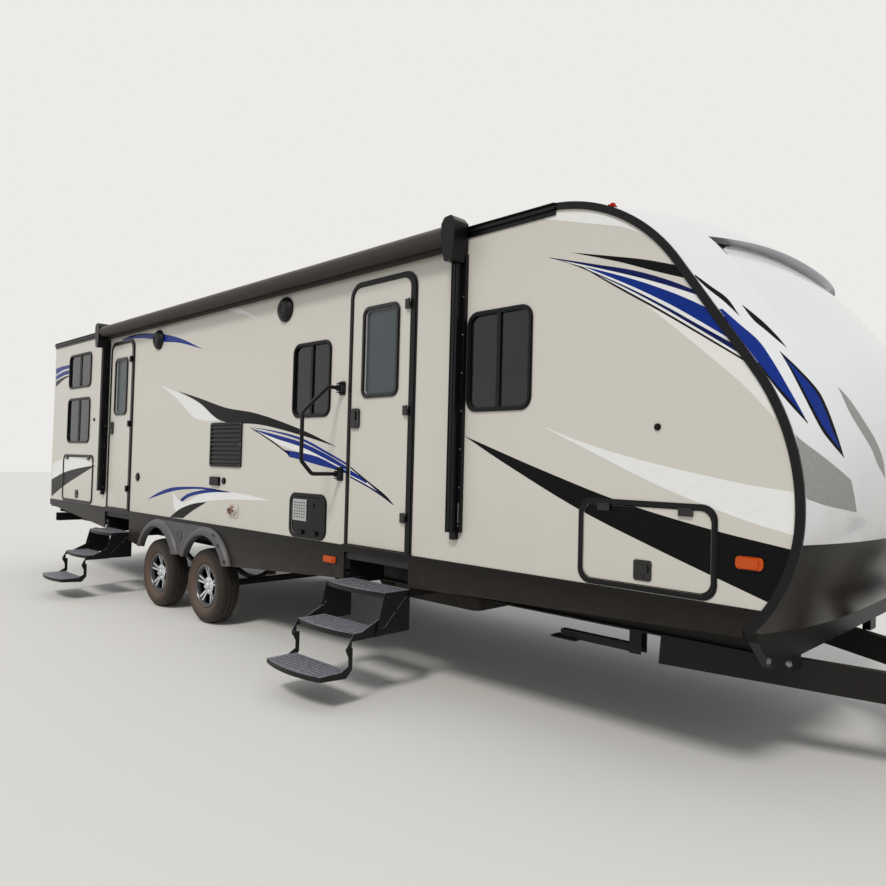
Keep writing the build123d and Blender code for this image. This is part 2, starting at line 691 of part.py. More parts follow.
with BuildPart() as coupler:
    with BuildSketch(Plane.XY.offset(COUPLER_BOTTOM_Z)):
        with Locations((BALL_X, 0)):
            Circle(50)
        with Locations(((BALL_X + TONGUE_TIP_X + 8) / 2, 0)):
            Rectangle(BALL_X - TONGUE_TIP_X - 8, 100)
    extrude(amount=75)
    with BuildSketch(Plane.XY.offset(COUPLER_BOTTOM_Z)):
        with Locations((BALL_X, 0)):
            Circle(BALL_R)
    extrude(amount=SOCKET_DEPTH, mode=Mode.SUBTRACT)
pieces["coupler"] = coupler

JACK_TOP_Z = 960.0

with BuildPart() as jack_tube:
    with BuildSketch(Plane.XY.offset(370)):
        Circle(JACK_R)
    extrude(amount=JACK_TOP_Z - 370)
    with BuildSketch(Plane.XY.offset(JACK_TOP_Z)):
        RectangleRounded(190, 130, 30)
    extrude(amount=150)
    with BuildSketch(Plane.XY.offset(370)):
        Circle(JACK_BORE_R)
    extrude(amount=JACK_TOP_Z - 370 - 20, mode=Mode.SUBTRACT)
pieces["jack_tube"] = jack_tube

with BuildPart() as jack_leg:
    with BuildSketch(Plane.XY):
        Circle(FOOT_R)
    extrude(amount=12)
    with BuildSketch(Plane.XY.offset(12)):
        Circle(JACK_LEG_R)
    extrude(amount=600)
pieces["jack_leg"] = jack_leg

BOTTLE_R = 155.0
BOTTLE_X = -285.0
BOTTLE_Y = 165.0
BOTTLE_Z = 620.0

BOTTLE_TALL = 470.0

with BuildPart() as gas_bottles:
    with BuildSketch(Plane.XY.offset(BOTTLE_Z)):
        with Locations((BOTTLE_X, -BOTTLE_Y), (BOTTLE_X, BOTTLE_Y)):
            Circle(BOTTLE_R)
    extrude(amount=BOTTLE_TALL)
    bottle_ends = gas_bottles.edges().filter_by(GeomType.CIRCLE).group_by(Axis.Z)
    fillet(bottle_ends[-1], 90)
    fillet(gas_bottles.edges().filter_by(GeomType.CIRCLE).group_by(Axis.Z)[0], 40)
    with BuildSketch(Plane.XY.offset(BOTTLE_Z - 8)):
        with Locations((BOTTLE_X, 0)):
            RectangleRounded(330, 660, 30)
    extrude(amount=9)
pieces["gas_bottles"] = gas_bottles

with BuildPart() as battery_box:
    with BuildSketch(Plane.XY.offset(BOTTLE_Z - 60)):
        with Locations((BOTTLE_X - 270, 330)):
            RectangleRounded(190, 330, 25)
    extrude(amount=230)
pieces["battery_box"] = battery_box

# Axles, springs and hangers

SPRING_Z = WHEEL_R = TYRE_R
SPRING_HALF = 330.0
SPRING_RISE = 75.0
SPRING_THICK = 28.0
SPRING_WIDTH = 45.0
EYE_R = 20.0

with BuildPart() as axles:
    for x in AXLE_X:
        with BuildSketch(upright(0)):
            with Locations((x, TYRE_R)):
                Circle(AXLE_TUBE_R)
        extrude(amount=WHEEL_Y - 115, both=True)
        with BuildSketch(upright(0)):
            with Locations((x, TYRE_R)):
                Circle(SPINDLE_R)
        extrude(amount=WHEEL_Y + 40, both=True)
pieces["axles"] = axles

EYE_Z = TYRE_R + AXLE_TUBE_R + 6 + SPRING_THICK + SPRING_RISE

HANGER_X = (AXLE_X[0] - SPRING_HALF - 25, ARCH_GAP_X, AXLE_X[1] + SPRING_HALF + 25)

with BuildPart() as suspension:
    for x in AXLE_X:
        low = TYRE_R + AXLE_TUBE_R + 1
        start, finish = (x - SPRING_HALF, EYE_Z), (x + SPRING_HALF, EYE_Z)
        drop = SPRING_THICK / 2
        with BuildSketch(upright(-RAIL_Y + SPRING_WIDTH / 2)):
            with BuildLine():
                ThreePointArc((start[0], EYE_Z - drop), (x, low), (finish[0], EYE_Z - drop))
                Line((finish[0], EYE_Z - drop), (finish[0], EYE_Z + drop))
                ThreePointArc((finish[0], EYE_Z + drop), (x, low + SPRING_THICK), (start[0], EYE_Z + drop))
                Line((start[0], EYE_Z + drop), (start[0], EYE_Z - drop))
            make_face()
        extrude(amount=SPRING_WIDTH)
    for x in HANGER_X:
        with BuildSketch(Plane.XY.offset(EYE_Z - 30)):
            with Locations((x, -RAIL_Y)):
                Rectangle(70, 60)
        extrude(amount=RAIL_BOTTOM_Z - EYE_Z + 30 - 0.5)
    mirror(about=Plane.XZ)
pieces["suspension"] = suspension

# Wheels: built once about their own axis, then set on each hub

TREAD_GROOVES = (-38.0, 0.0, 38.0)
GROOVE_WIDTH = 9.0
GROOVE_DEPTH = 7.0

with BuildPart() as tyre_form:
    half = TYRE_WIDTH / 2
    seat = RIM_WIDTH / 2 - 8
    shoulder = Vector(TYRE_R - 12, 74)
    widest = Vector(TYRE_R - 72, half)
    flank_start = Vector(RIM_R + 4, seat + 2)
    with BuildSketch(Plane.XY):
        with BuildLine():
            Polyline((BEAD_R, -seat), (flank_start.X, -flank_start.Y))
            ThreePointArc(
                (flank_start.X, -flank_start.Y),
                (widest.X, -widest.Y),
                (shoulder.X, -shoulder.Y),
            )
            ThreePointArc((shoulder.X, -shoulder.Y), (TYRE_R, 0), (shoulder.X, shoulder.Y))
            ThreePointArc((shoulder.X, shoulder.Y), (widest.X, widest.Y), (flank_start.X, flank_start.Y))
            Polyline((flank_start.X, flank_start.Y), (BEAD_R, seat), (BEAD_R, -seat))
        make_face()
        for place in TREAD_GROOVES:
            with Locations((TYRE_R, place)):
                Rectangle(2 * GROOVE_DEPTH, GROOVE_WIDTH, mode=Mode.SUBTRACT)
    revolve(axis=Axis.Y)

with BuildPart() as wheel_form:
    # barrel with its two flanges
    with BuildSketch(Plane.XY):
        with BuildLine():
            Polyline(
                (BEAD_R - 0.5, -seat - 0.5),
                (RIM_R, -seat - 4),
                (RIM_R, -seat - 12),
                (BEAD_R - 3, -seat - 14),
                (BEAD_R - 8, -seat - 8),
                (BEAD_R - 8, seat + 8),
                (BEAD_R - 3, seat + 12),
                (RIM_R, seat + 10),
                (RIM_R, seat + 4),
                (BEAD_R - 0.5, seat + 0.5),
                (BEAD_R - 0.5, -seat - 0.5),
            )
        make_face()
    revolve(axis=Axis.Y)
    # dished disc, cut through between the paired spokes
    with BuildSketch(Plane.XY):
        with BuildLine():
            Polyline(
                (HUB_R - 2, -42),
                (BEAD_R - 12, -63),
                (BEAD_R - 6, -63),
                (BEAD_R - 6, -40),
                (BEAD_R - 12, -38),
                (HUB_R - 2, -16),
                (HUB_R - 2, -42),
            )
        make_face()
    revolve(axis=Axis.Y)
    with BuildSketch(Plane.XZ.offset(12)):
        Circle(BEAD_R - 15)
        Circle(HUB_R, mode=Mode.SUBTRACT)
        for lean in (-SPOKE_SPREAD, SPOKE_SPREAD):
            with PolarLocations((HUB_R + BEAD_R) / 2, SPOKE_PAIRS, start_angle=90 + lean):
                Rectangle(BEAD_R - HUB_R + 20, SPOKE_WIDTH, mode=Mode.SUBTRACT)
    extrude(amount=70, mode=Mode.SUBTRACT)
    # hub with its cap, and the drum behind
    with BuildSketch(Plane.XY):
        with BuildLine():
            Polyline(
                (0, -66),
                (25, -66),
                (31, -60),
                (33, -50),
                (HUB_R, -43),
                (HUB_R, -12),
                (60, -8),
                (60, 2),
                (DRUM_R, 4),
                (DRUM_R, 58),
                (SPINDLE_R + BEARING_GAP, 58),
                (SPINDLE_R + BEARING_GAP, -45),
                (0, -45),
                (0, -66),
            )
        make_face()
    revolve(axis=Axis.Y)
    with BuildSketch(Plane.XZ.offset(40)):
        with PolarLocations(55, SPOKE_PAIRS, start_angle=54):
            Circle(9.5)
    extrude(amount=17)

# Names the four corners; the outer face of each wheel turns away from the centre line
WHEEL_CORNERS = {
    "rear_right": (AXLE_X[0], -1),
    "rear_left": (AXLE_X[0], 1),
    "front_right": (AXLE_X[1], -1),
    "front_left": (AXLE_X[1], 1),
}
for corner, (x, side) in WHEEL_CORNERS.items():
    seat_at = Location((x, side * WHEEL_Y, TYRE_R), (0, 0, 90 + 90 * side))
    with BuildPart() as tyre:
        add(tyre_form.part.moved(seat_at))
    with BuildPart() as wheel:
        add(wheel_form.part.moved(seat_at))
    pieces[f"tyre_{corner}"] = tyre
    pieces[f"wheel_{corner}"] = wheel

# Doors, their panes and their frames

PANE_THICK = 6.0
DOOR_FACE_Y = -HALF_WIDTH - 2
KNUCKLE_R = 8.0
KNUCKLE_LENGTH = 64.0
KNUCKLE_Z = (1130.0, 1830.0, 2530.0)
PANE_RING = 30.0


def door_leaf(doorway, pane, handle_x):
    """A hinged door as thick as the wall, its window cut through, with a ring, a handle and knuckles."""
    with BuildPart() as leaf:
        outer = Opening(doorway.x0 + DOOR_GAP, doorway.x1 - DOOR_GAP, doorway.z0 + DOOR_SILL, doorway.z1 - DOOR_GAP)
        with BuildSketch(upright(DOOR_FACE_Y + WALL)):
            arched(outer, DOORWAY_CORNER - DOOR_GAP)
            rounded(pane, 34, Mode.SUBTRACT)
        extrude(amount=WALL)
        with BuildSketch(upright(DOOR_FACE_Y)):
            rounded(grown(pane, PANE_RING), 34 + PANE_RING)
            rounded(pane, 34, Mode.SUBTRACT)
        extrude(amount=9)
        with BuildSketch(upright(DOOR_FACE_Y - 9)):
            rounded(grown(pane, PANE_RING - 8), 26 + PANE_RING)
            rounded(grown(pane, 4), 38, Mode.SUBTRACT)
        extrude(amount=6)
        # handle plate with a hollow for the fingers and a lock barrel below
        with BuildSketch(upright(DOOR_FACE_Y)):
            with Locations((handle_x, 1790)):
                RectangleRounded(88, 140, 22)
        extrude(amount=18)
        with BuildSketch(upright(DOOR_FACE_Y - 6)):
            with Locations((handle_x, 1808)):
                RectangleRounded(52, 66, 16)
        extrude(amount=14, mode=Mode.SUBTRACT)
        with BuildSketch(upright(DOOR_FACE_Y - 5)):
            with Locations((handle_x - 4, 1808)):
                RectangleRounded(30, 74, 12)
        extrude(amount=17)
        with BuildSketch(upright(DOOR_FACE_Y - 17)):
            with Locations((handle_x, 1744)):
                Circle(12)
        extrude(amount=5)
        # hinge knuckles on short leaves
        for z in KNUCKLE_Z:
            with BuildSketch(Plane.XY.offset(z - KNUCKLE_LENGTH / 2)):
                with Locations((doorway.x1, -HALF_WIDTH - HINGE_STANDOFF)):
                    Circle(KNUCKLE_R)
                with BuildLine():
                    Polyline(
                        (doorway.x1 - 42, DOOR_FACE_Y + 2),
                        (doorway.x1 - 42, -HALF_WIDTH - HINGE_STANDOFF + 3),
                        (doorway.x1, -HALF_WIDTH - HINGE_STANDOFF + 3),
                        (doorway.x1, -HALF_WIDTH - HINGE_STANDOFF + KNUCKLE_R),
                        (doorway.x1 - 16, -HALF_WIDTH - HINGE_STANDOFF + KNUCKLE_R),
                        (doorway.x1 - 16, DOOR_FACE_Y + 2),
                        (doorway.x1 - 42, DOOR_FACE_Y + 2),
                    )
                make_face()
            extrude(amount=KNUCKLE_LENGTH)
    return leaf


def pane_glass(panes, inset):
    """Flat glass set into the middle of the wall's thickness."""
    with BuildPart() as glass:
        with BuildSketch(upright(-HALF_WIDTH + inset)):
            for pane in panes:
                rounded(grown(pane, -0.5), 33)
        extrude(amount=PANE_THICK)
    return glass


main_door = door_leaf(MAIN_DOORWAY, MAIN_DOOR_PANE, MAIN_DOORWAY.x0 + 62)
main_door_glass = pane_glass((MAIN_DOOR_PANE,), 14)
rear_door = door_leaf(REAR_DOORWAY, REAR_DOOR_PANE, REAR_DOORWAY.x0 + 62)
rear_door_glass = pane_glass((REAR_DOOR_PANE,), 14)
pieces["main_door"] = main_door
pieces["main_door_glass"] = main_door_glass
pieces["rear_door"] = rear_door
pieces["rear_door_glass"] = rear_door_glass

with BuildPart() as door_frames:
    # two steps: a wide flange and a narrower bead along the opening
    for y, wide, depth in (
        (-HALF_WIDTH - 0.3, DOOR_TRIM, 6),
        (-HALF_WIDTH - 6.3, DOOR_TRIM - 14, 5),
    ):
        with BuildSketch(upright(y)):
            for doorway in (MAIN_DOORWAY, REAR_DOORWAY):
                flange = Opening(
                    doorway.x0 - wide, doorway.x1 + wide + HINGE_TRIM, doorway.z0 + 0.5, doorway.z1 + wide
                )
                arched(flange, DOORWAY_CORNER + wide)
                arched(doorway._replace(z0=doorway.z0 + 10), DOORWAY_CORNER, Mode.SUBTRACT)
        extrude(amount=depth)
    for doorway in (MAIN_DOORWAY, REAR_DOORWAY):
        with BuildSketch(upright(-HALF_WIDTH - 0.3)):
            sill_end = doorway.x1 + DOOR_TRIM + HINGE_TRIM
            square(Opening(doorway.x0 - DOOR_TRIM, sill_end, doorway.z0 + 0.5, doorway.z0 + 10))
        extrude(amount=24)
pieces["door_frames"] = door_frames

HATCH_BEAD = 8.0

with BuildPart() as hatch_frames:
    for y, wide, depth in ((-HALF_WIDTH - 0.3, LID_TRIM, 5), (-HALF_WIDTH - 5.3, LID_TRIM - HATCH_BEAD, 4)):
        with BuildSketch(upright(y)):
            for hatch in (REAR_HATCH, FRONT_HATCH, HEATER_HATCH):
                rounded(grown(hatch, wide), LID_CORNER + wide / 2)
                rounded(hatch, LID_CORNER, Mode.SUBTRACT)
        extrude(amount=depth)
    for y, wide, depth in ((HALF_WIDTH + 0.3, LID_TRIM, 5), (HALF_WIDTH + 5.3, LID_TRIM - HATCH_BEAD, 4)):
        with BuildSketch(upright(y)):
            rounded(grown(FRONT_HATCH, wide), LID_CORNER + wide / 2)
            rounded(FRONT_HATCH, LID_CORNER, Mode.SUBTRACT)
        extrude(amount=-depth)
pieces["hatch_frames"] = hatch_frames

# Storage lids, hinged along the top, and the heater's lid, hinged along its foot

LID_PIN_R = 4.0
LID_HINGE_LENGTH = 70.0


def hatch_lid(hatch, hinge_z, latches):
    """A lid flush with the wall, with turning latches and two hinge leaves on one edge."""
    inward = -1 if hinge_z > centre_of(hatch)[1] else 1
    pin = Vector(-HALF_WIDTH - LID_STANDOFF, hinge_z)
    with BuildPart() as lid:
        with BuildSketch(upright(-WALL_INNER_Y - 10)):
            rounded(grown(hatch, -5), LID_CORNER - 5)
        extrude(amount=WALL - 10)
        for x in (hatch.x0 + 90, hatch.x1 - 90 - LID_HINGE_LENGTH):
            with BuildSketch(cross_section(x)):
                with Locations((pin.X, pin.Y)):
                    Circle(LID_PIN_R)
                with BuildLine():
                    Polyline(
                        (-HALF_WIDTH + 1, hinge_z + 34 * inward),
                        (pin.X - 1, hinge_z + 34 * inward),
                        (pin.X - 1, hinge_z),
                        (pin.X + 2, hinge_z),
                        (pin.X + 2, hinge_z + 12 * inward),
                        (-HALF_WIDTH + 1, hinge_z + 12 * inward),
                        (-HALF_WIDTH + 1, hinge_z + 34 * inward),
                    )
                make_face()
            extrude(amount=LID_HINGE_LENGTH)
        for x, z in latches:
            with BuildSketch(upright(-HALF_WIDTH + 1)):
                with Locations((x, z)):
                    RectangleRounded(96, 100, 14)
            extrude(amount=7)
            with BuildSketch(upright(-HALF_WIDTH - 5)):
                with Locations((x, z + 8)):
                    RectangleRounded(62, 40, 10)
            extrude(amount=10)
            with BuildSketch(upright(-HALF_WIDTH - 5)):
                with Locations((x, z - 32)):
                    Circle(9)
            extrude(amount=4)
    return lid


rear_storage_lid = hatch_lid(REAR_HATCH, REAR_HATCH.z1, [(centre_of(REAR_HATCH)[0], REAR_HATCH.z0 + 75)])
front_storage_lid_right = hatch_lid(FRONT_HATCH, FRONT_HATCH.z1, [(centre_of(FRONT_HATCH)[0], FRONT_HATCH.z0 + 75)])
with BuildPart() as front_storage_lid_left:
    add(front_storage_lid_right.part.mirror(Plane.XZ))

# the heater's lid carries a slotted grille over its burner
GRILLE = Opening(HEATER_HATCH.x0 + 20, HEATER_HATCH.x0 + 200, HEATER_HATCH.z1 - 185, HEATER_HATCH.z1 - 22)
heater_blank = hatch_lid(HEATER_HATCH, HEATER_HATCH.z0, [])
with BuildPart() as heater_lid:
    add(heater_blank.part)
    with BuildSketch(upright(-HALF_WIDTH + 1)):
        rounded(GRILLE, 8)
    extrude(amount=5)
    with BuildSketch(upright(-HALF_WIDTH + 6)):
        with Locations(centre_of(GRILLE)):
            with GridLocations(30, 22, 5, 6):
                RectangleRounded(20, 12, 4)
    extrude(amount=20, mode=Mode.SUBTRACT)
    with BuildSketch(upright(-HALF_WIDTH + 1)):
        with Locations((HEATER_HATCH.x0 + 280, HEATER_HATCH.z1 - 60)):
            Circle(14)
    extrude(amount=8)
pieces["rear_storage_lid"] = rear_storage_lid
pieces["front_storage_lid_right"] = front_storage_lid_right
pieces["front_storage_lid_left"] = front_storage_lid_left
pieces["heater_lid"] = heater_lid

# Windows: frames proud of the wall with a mullion each, tinted panes in them

with BuildPart() as window_frames:
    for y, windows, way in ((-HALF_WIDTH - 0.3, RIGHT_WINDOWS, 1), (HALF_WIDTH + 0.3, LEFT_WINDOWS, -1)):
        with BuildSketch(upright(y)):
            for pane in windows:
                rounded(grown(pane, 8), WINDOW_CORNER + 8)
                rounded(grown(pane, -18), WINDOW_CORNER - 18, Mode.SUBTRACT)
        extrude(amount=9 * way)
        with BuildSketch(upright(y - 9 * way)):
            for pane in windows:
                rounded(grown(pane, 2), WINDOW_CORNER + 2)
                rounded(grown(pane, -10), WINDOW_CORNER - 10, Mode.SUBTRACT)
        extrude(amount=5 * way)
        with BuildSketch(upright(y)):
            for pane in windows:
                middle = centre_of(pane)[0]
                square(Opening(middle - MULLION / 2, middle + MULLION / 2, pane.z0 + 10, pane.z1 - 10))
        extrude(amount=6 * way)
pieces["window_frames"] = window_frames

with BuildPart() as window_glass:
    for y, windows, way in ((-HALF_WIDTH + 12, RIGHT_WINDOWS, 1), (HALF_WIDTH - 12, LEFT_WINDOWS, -1)):
        with BuildSketch(upright(y)):
            for pane in windows:
                rounded(grown(pane, -0.5), WINDOW_CORNER)
        extrude(amount=PANE_THICK * way)
pieces["window_glass"] = window_glass

# Grab handle, swung out beside the main door

GRAB_X = MAIN_DOORWAY.x0 - 100
GRAB_Y = -HALF_WIDTH - 42
GRAB_REACH = 300.0
GRAB_R = 14.0
GRAB_BARREL = 44.0
GRAB_EAR = 8.0
GRAB_Z = (1396.0, 2012.0)

with BuildPart() as grab_handle:
    grab_plane = Plane(origin=(GRAB_X, GRAB_Y, 0), x_dir=(0, -1, 0), z_dir=(-1, 0, 0))
    with BuildLine(grab_plane) as grab_path:
        FilletPolyline(
            (0, GRAB_Z[1]),
            (90, GRAB_Z[1]),
            (GRAB_REACH, GRAB_Z[1] - 190),
            (GRAB_REACH, GRAB_Z[0] + 90),
            (GRAB_REACH - 90, GRAB_Z[0]),
            (0, GRAB_Z[0]),
            radius=45,
        )
    with BuildSketch(Plane(origin=grab_path.line @ 0, z_dir=grab_path.line % 0)):
        Circle(GRAB_R)
    sweep()
    for z in GRAB_Z:
        with BuildSketch(Plane.XY.offset(z - GRAB_BARREL / 2)):
            with Locations((GRAB_X, GRAB_Y)):
                Circle(GRAB_R + 2)
        extrude(amount=GRAB_BARREL)
pieces["grab_handle"] = grab_handle

# Awning: rolled fabric between two folded arms, each under a cast head

AWNING_X = (REAR_X + 1810, REAR_X + 7322)
AWNING_Y = -HALF_WIDTH - 88
AWNING_Z = 2875.0
AWNING_R = 58.0
ARM_WIDTH = 84.0
ARM_Y = -HALF_WIDTH - 2
ARM_BOTTOM_Z = 1080.0
ARM_TOP_Z = 2760.0
ARM_BASE = 26.0
INNER_ARM_WIDTH = 56.0
INNER_ARM_PROUD = 72.0
HEAD_Y = -HALF_WIDTH - GUTTER_DEPTH - 6
HEAD_DEPTH = 118.0

with BuildPart() as awning_roller:
    with BuildSketch(cross_section(AWNING_X[0] + 62)):
        with Locations((AWNING_Y, AWNING_Z)):
            Circle(AWNING_R)
        # the valance hangs from the roll
        with Locations((AWNING_Y + AWNING_R - 9, AWNING_Z - 42)):
            Rectangle(5, 84)
    extrude(amount=AWNING_X[1] - AWNING_X[0] - 124)
pieces["awning_roller"] = awning_roller

with BuildPart() as awning_arms:
    for x in AWNING_X:
        # wall channel, and the folded arm in it with two flutes down its face
        with BuildSketch(Plane.XY.offset(ARM_BOTTOM_Z)):
            with Locations((x, ARM_Y - ARM_BASE / 2)):
                Rectangle(ARM_WIDTH, ARM_BASE)
            with Locations((x - 12, ARM_Y - INNER_ARM_PROUD / 2)):
                RectangleRounded(INNER_ARM_WIDTH, INNER_ARM_PROUD, 8)
            with Locations((x - 26, ARM_Y - INNER_ARM_PROUD), (x + 2, ARM_Y - INNER_ARM_PROUD)):
                Rectangle(8, 8, mode=Mode.SUBTRACT)
        extrude(amount=ARM_TOP_Z - ARM_BOTTOM_Z)
        with BuildSketch(upright(ARM_Y)):
            with Locations((x - 12, ARM_BOTTOM_Z - 18)):
                RectangleRounded(44, 56, 8)
        extrude(amount=34)
        # cast head that holds the roller's end
        with BuildSketch(upright(HEAD_Y)) as head_face:
            with BuildLine():
                FilletPolyline(
                    (x - 30, ARM_TOP_Z - 60),
                    (x + 30, ARM_TOP_Z - 60),
                    (x + 46, ARM_TOP_Z + 40),
                    (x + 56, AWNING_Z + 60),
                    (x + 20, AWNING_Z + 98),
                    (x - 34, AWNING_Z + 92),
                    (x - 60, AWNING_Z + 56),
                    (x - 48, ARM_TOP_Z + 30),
                    radius=12,
                    close=True,
                )
            make_face()
        extrude(amount=HEAD_DEPTH)
        with BuildSketch(upright(ARM_Y)):
            with Locations((x, (ARM_TOP_Z - 60 + WALL_TOP_Z) / 2 - 10)):
                Rectangle(ARM_WIDTH - 20, WALL_TOP_Z - ARM_TOP_Z + 40)
        extrude(amount=GUTTER_DEPTH + 10)
pieces["awning_arms"] = awning_arms

# Wall fittings and lamps

Fitting = namedtuple("Fitting", "x z width height proud")
FRIDGE_VENT = Fitting(4524, 1605, 540, 390, 14)
LOUVRE_PITCH = 38.0
BOXES = (
    Fitting(4365, 1280, 155, 78, 25),
    Fitting(4687, 1035, 150, 110, 8),
)
PORTS = (
    Fitting(2708, 1263, 90, 90, 14),
    Fitting(4508, 1286, 60, 60, 14),
    Fitting(1430, 1897, 38, 38, 12),
    Fitting(8622, 1694, 34, 34, 12),
)
SPEAKERS = (
    Fitting(3107, 2671, 200, 200, 46),
    Fitting(5399, 2681, 200, 200, 46),
)
MARKERS = (
    Fitting(6072, 777, 140, 48, 20),
    Fitting(9068, 1093, 118, 56, 20),
)

with BuildPart() as wall_fittings:
    face = upright(-HALF_WIDTH - 0.3)
    # fridge vent: a framed tray with sloping slats
    vent = FRIDGE_VENT
    with BuildSketch(face):
        with Locations((REAR_X + vent.x, vent.z)):
            RectangleRounded(vent.width, vent.height, 26)
    extrude(amount=vent.proud)
    with BuildSketch(upright(-HALF_WIDTH - 3)):
        with Locations((REAR_X + vent.x, vent.z)):
            RectangleRounded(vent.width - 44, vent.height - 44, 10)
    extrude(amount=vent.proud, mode=Mode.SUBTRACT)
    with BuildSketch(cross_section(REAR_X + vent.x - vent.width / 2 + 20)):
        for row in range(-4, 5):
            with Locations((-HALF_WIDTH - 10, vent.z + row * LOUVRE_PITCH)):
                Polygon((9, 15), (4, 19), (-8, -7), (-3, -11), align=None)
    extrude(amount=vent.width - 40)
    for item in BOXES:
        with BuildSketch(face):
            with Locations((REAR_X + item.x, item.z)):
                RectangleRounded(item.width, item.height, 12)
        extrude(amount=item.proud)
    # furnace flue: a wide outlet beside a narrow inlet
    flue = BOXES[1]
    with BuildSketch(upright(-HALF_WIDTH - flue.proud)):
        with Locations((REAR_X + flue.x - 32, flue.z), (REAR_X + flue.x + 38, flue.z)):
            Circle(27)
            Circle(21, mode=Mode.SUBTRACT)
    extrude(amount=26)
    for item in PORTS:
        with BuildSketch(face):
            with Locations((REAR_X + item.x, item.z)):
                Circle(item.width / 2)
        extrude(amount=item.proud / 2)
        with BuildSketch(face):
            with Locations((REAR_X + item.x, item.z)):
                Circle(item.width * 0.36)
        extrude(amount=item.proud)
    for item in SPEAKERS:
        with BuildSketch(Plane.XY):
            with BuildLine():
                Polyline((0, 0), (item.width / 2, 0), (item.width / 2, -12))
                ThreePointArc(
                    (item.width / 2, -12),
                    (item.width * 0.36, -item.proud + 8),
                    (item.width * 0.2, -item.proud),
                )
                Polyline(
                    (item.width * 0.2, -item.proud),
                    (item.width * 0.14, -item.proud + 8),
                    (0, -item.proud + 8),
                    (0, 0),
                )
            make_face()
        dome = revolve(axis=Axis.Y, mode=Mode.PRIVATE)
        add(dome.moved(Location((REAR_X + item.x, -HALF_WIDTH - 0.3, item.z))))
    # grab handle brackets: a plate and two ears each, round the handle's barrel
    with BuildSketch(face):
        with Locations((GRAB_X, GRAB_Z[0]), (GRAB_X, GRAB_Z[1])):
            RectangleRounded(64, 100, 15)
    extrude(amount=12)
    for z in GRAB_Z:
        for start in (z - GRAB_BARREL / 2 - 6 - GRAB_EAR, z + GRAB_BARREL / 2 + 6):
            with BuildSketch(Plane.XY.offset(start)):
                with Locations((GRAB_X, (GRAB_Y - HALF_WIDTH - 1) / 2)):
                    Rectangle(2 * GRAB_R, -GRAB_Y - HALF_WIDTH - 1)
                with Locations((GRAB_X, GRAB_Y)):
                    Circle(GRAB_R)
            extrude(amount=GRAB_EAR)
pieces["wall_fittings"] = wall_fittings

with BuildPart() as lamps:
    for item in MARKERS:
        with BuildSketch(upright(-HALF_WIDTH - SKIRT_PROUD - 0.3)):
            with Locations((REAR_X + item.x, item.z)):
                RectangleRounded(item.width, item.height, item.height / 3)
        extrude(amount=item.proud * 0.6)
        with BuildSketch(upright(-HALF_WIDTH - SKIRT_PROUD - 0.3)):
            with Locations((REAR_X + item.x, item.z)):
                RectangleRounded(item.width * 0.7, item.height * 0.8, item.height / 4)
        extrude(amount=item.proud)
    for y in (-HALF_WIDTH + 130, HALF_WIDTH - 130):
        with BuildSketch(cross_section(REAR_X - 0.3)):
            with Locations((y, 1050)):
                RectangleRounded(160, 160, 20)
        extrude(amount=-30)
pieces["lamps"] = lamps

# Roof fittings

AC = Opening(REAR_X + 3000, REAR_X + 3900, 0.0, 3375.0)
AC_WIDTH = 840.0
HOOD = Opening(REAR_X + 2350, REAR_X + 2990, 0.0, 3330.0)
HOOD_Y = -180.0
HOOD_WIDTH = 540.0

with BuildPart() as air_conditioner:
    # base pan, shroud with a lower rim, and cooling slots down each flank
    with BuildSketch(Plane.XY.offset(roof_z(0) + 1)):
        with Locations(((AC.x0 + AC.x1) / 2, 0)):
            RectangleRounded(AC.x1 - AC.x0 - 60, AC_WIDTH - 60, 60)
    extrude(amount=60)
    with BuildSketch(Plane.XY.offset(roof_z(0) + 50)):
        with Locations(((AC.x0 + AC.x1) / 2, 0)):
            RectangleRounded(AC.x1 - AC.x0, AC_WIDTH, 110)
    with BuildSketch(Plane.XY.offset(AC.z1)):
        with Locations(((AC.x0 + AC.x1) / 2 - 20, 0)):
            RectangleRounded(AC.x1 - AC.x0 - 150, AC_WIDTH - 110, 110)
    loft()
    fillet(air_conditioner.faces().sort_by(Axis.Z)[-1].edges(), 30)
    with BuildSketch(Plane.XY.offset(roof_z(0) + 110)):
        with Locations(((AC.x0 + AC.x1) / 2 - 60, 0)):
            with GridLocations(46, AC_WIDTH + 30, 9, 2):
                RectangleRounded(24, 130, 10)
    extrude(amount=130, mode=Mode.SUBTRACT)
pieces["air_conditioner"] = air_conditioner

with BuildPart() as vent_hood:
    with BuildSketch(Plane.XY.offset(roof_z(HOOD_WIDTH / 2 - HOOD_Y) + 32)):
        with Locations(((HOOD.x0 + HOOD.x1) / 2, HOOD_Y)):
            RectangleRounded(HOOD.x1 - HOOD.x0, HOOD_WIDTH, 50)
    with BuildSketch(Plane.XY.offset(HOOD.z1)):
        with Locations(((HOOD.x0 + HOOD.x1) / 2, HOOD_Y)):
            RectangleRounded(HOOD.x1 - HOOD.x0 - 90, HOOD_WIDTH - 80, 50)
    loft()
    fillet(vent_hood.faces().sort_by(Axis.Z)[-1].edges(), 25)
pieces["vent_hood"] = vent_hood

VENT_LID_Z = ROOF_EDGE_Z + ROOF_CROWN + VENT_COLLAR + 6
VENT_LID_SIZE = VENT_SIZE + 40
VENT_PIN_R = 6.0

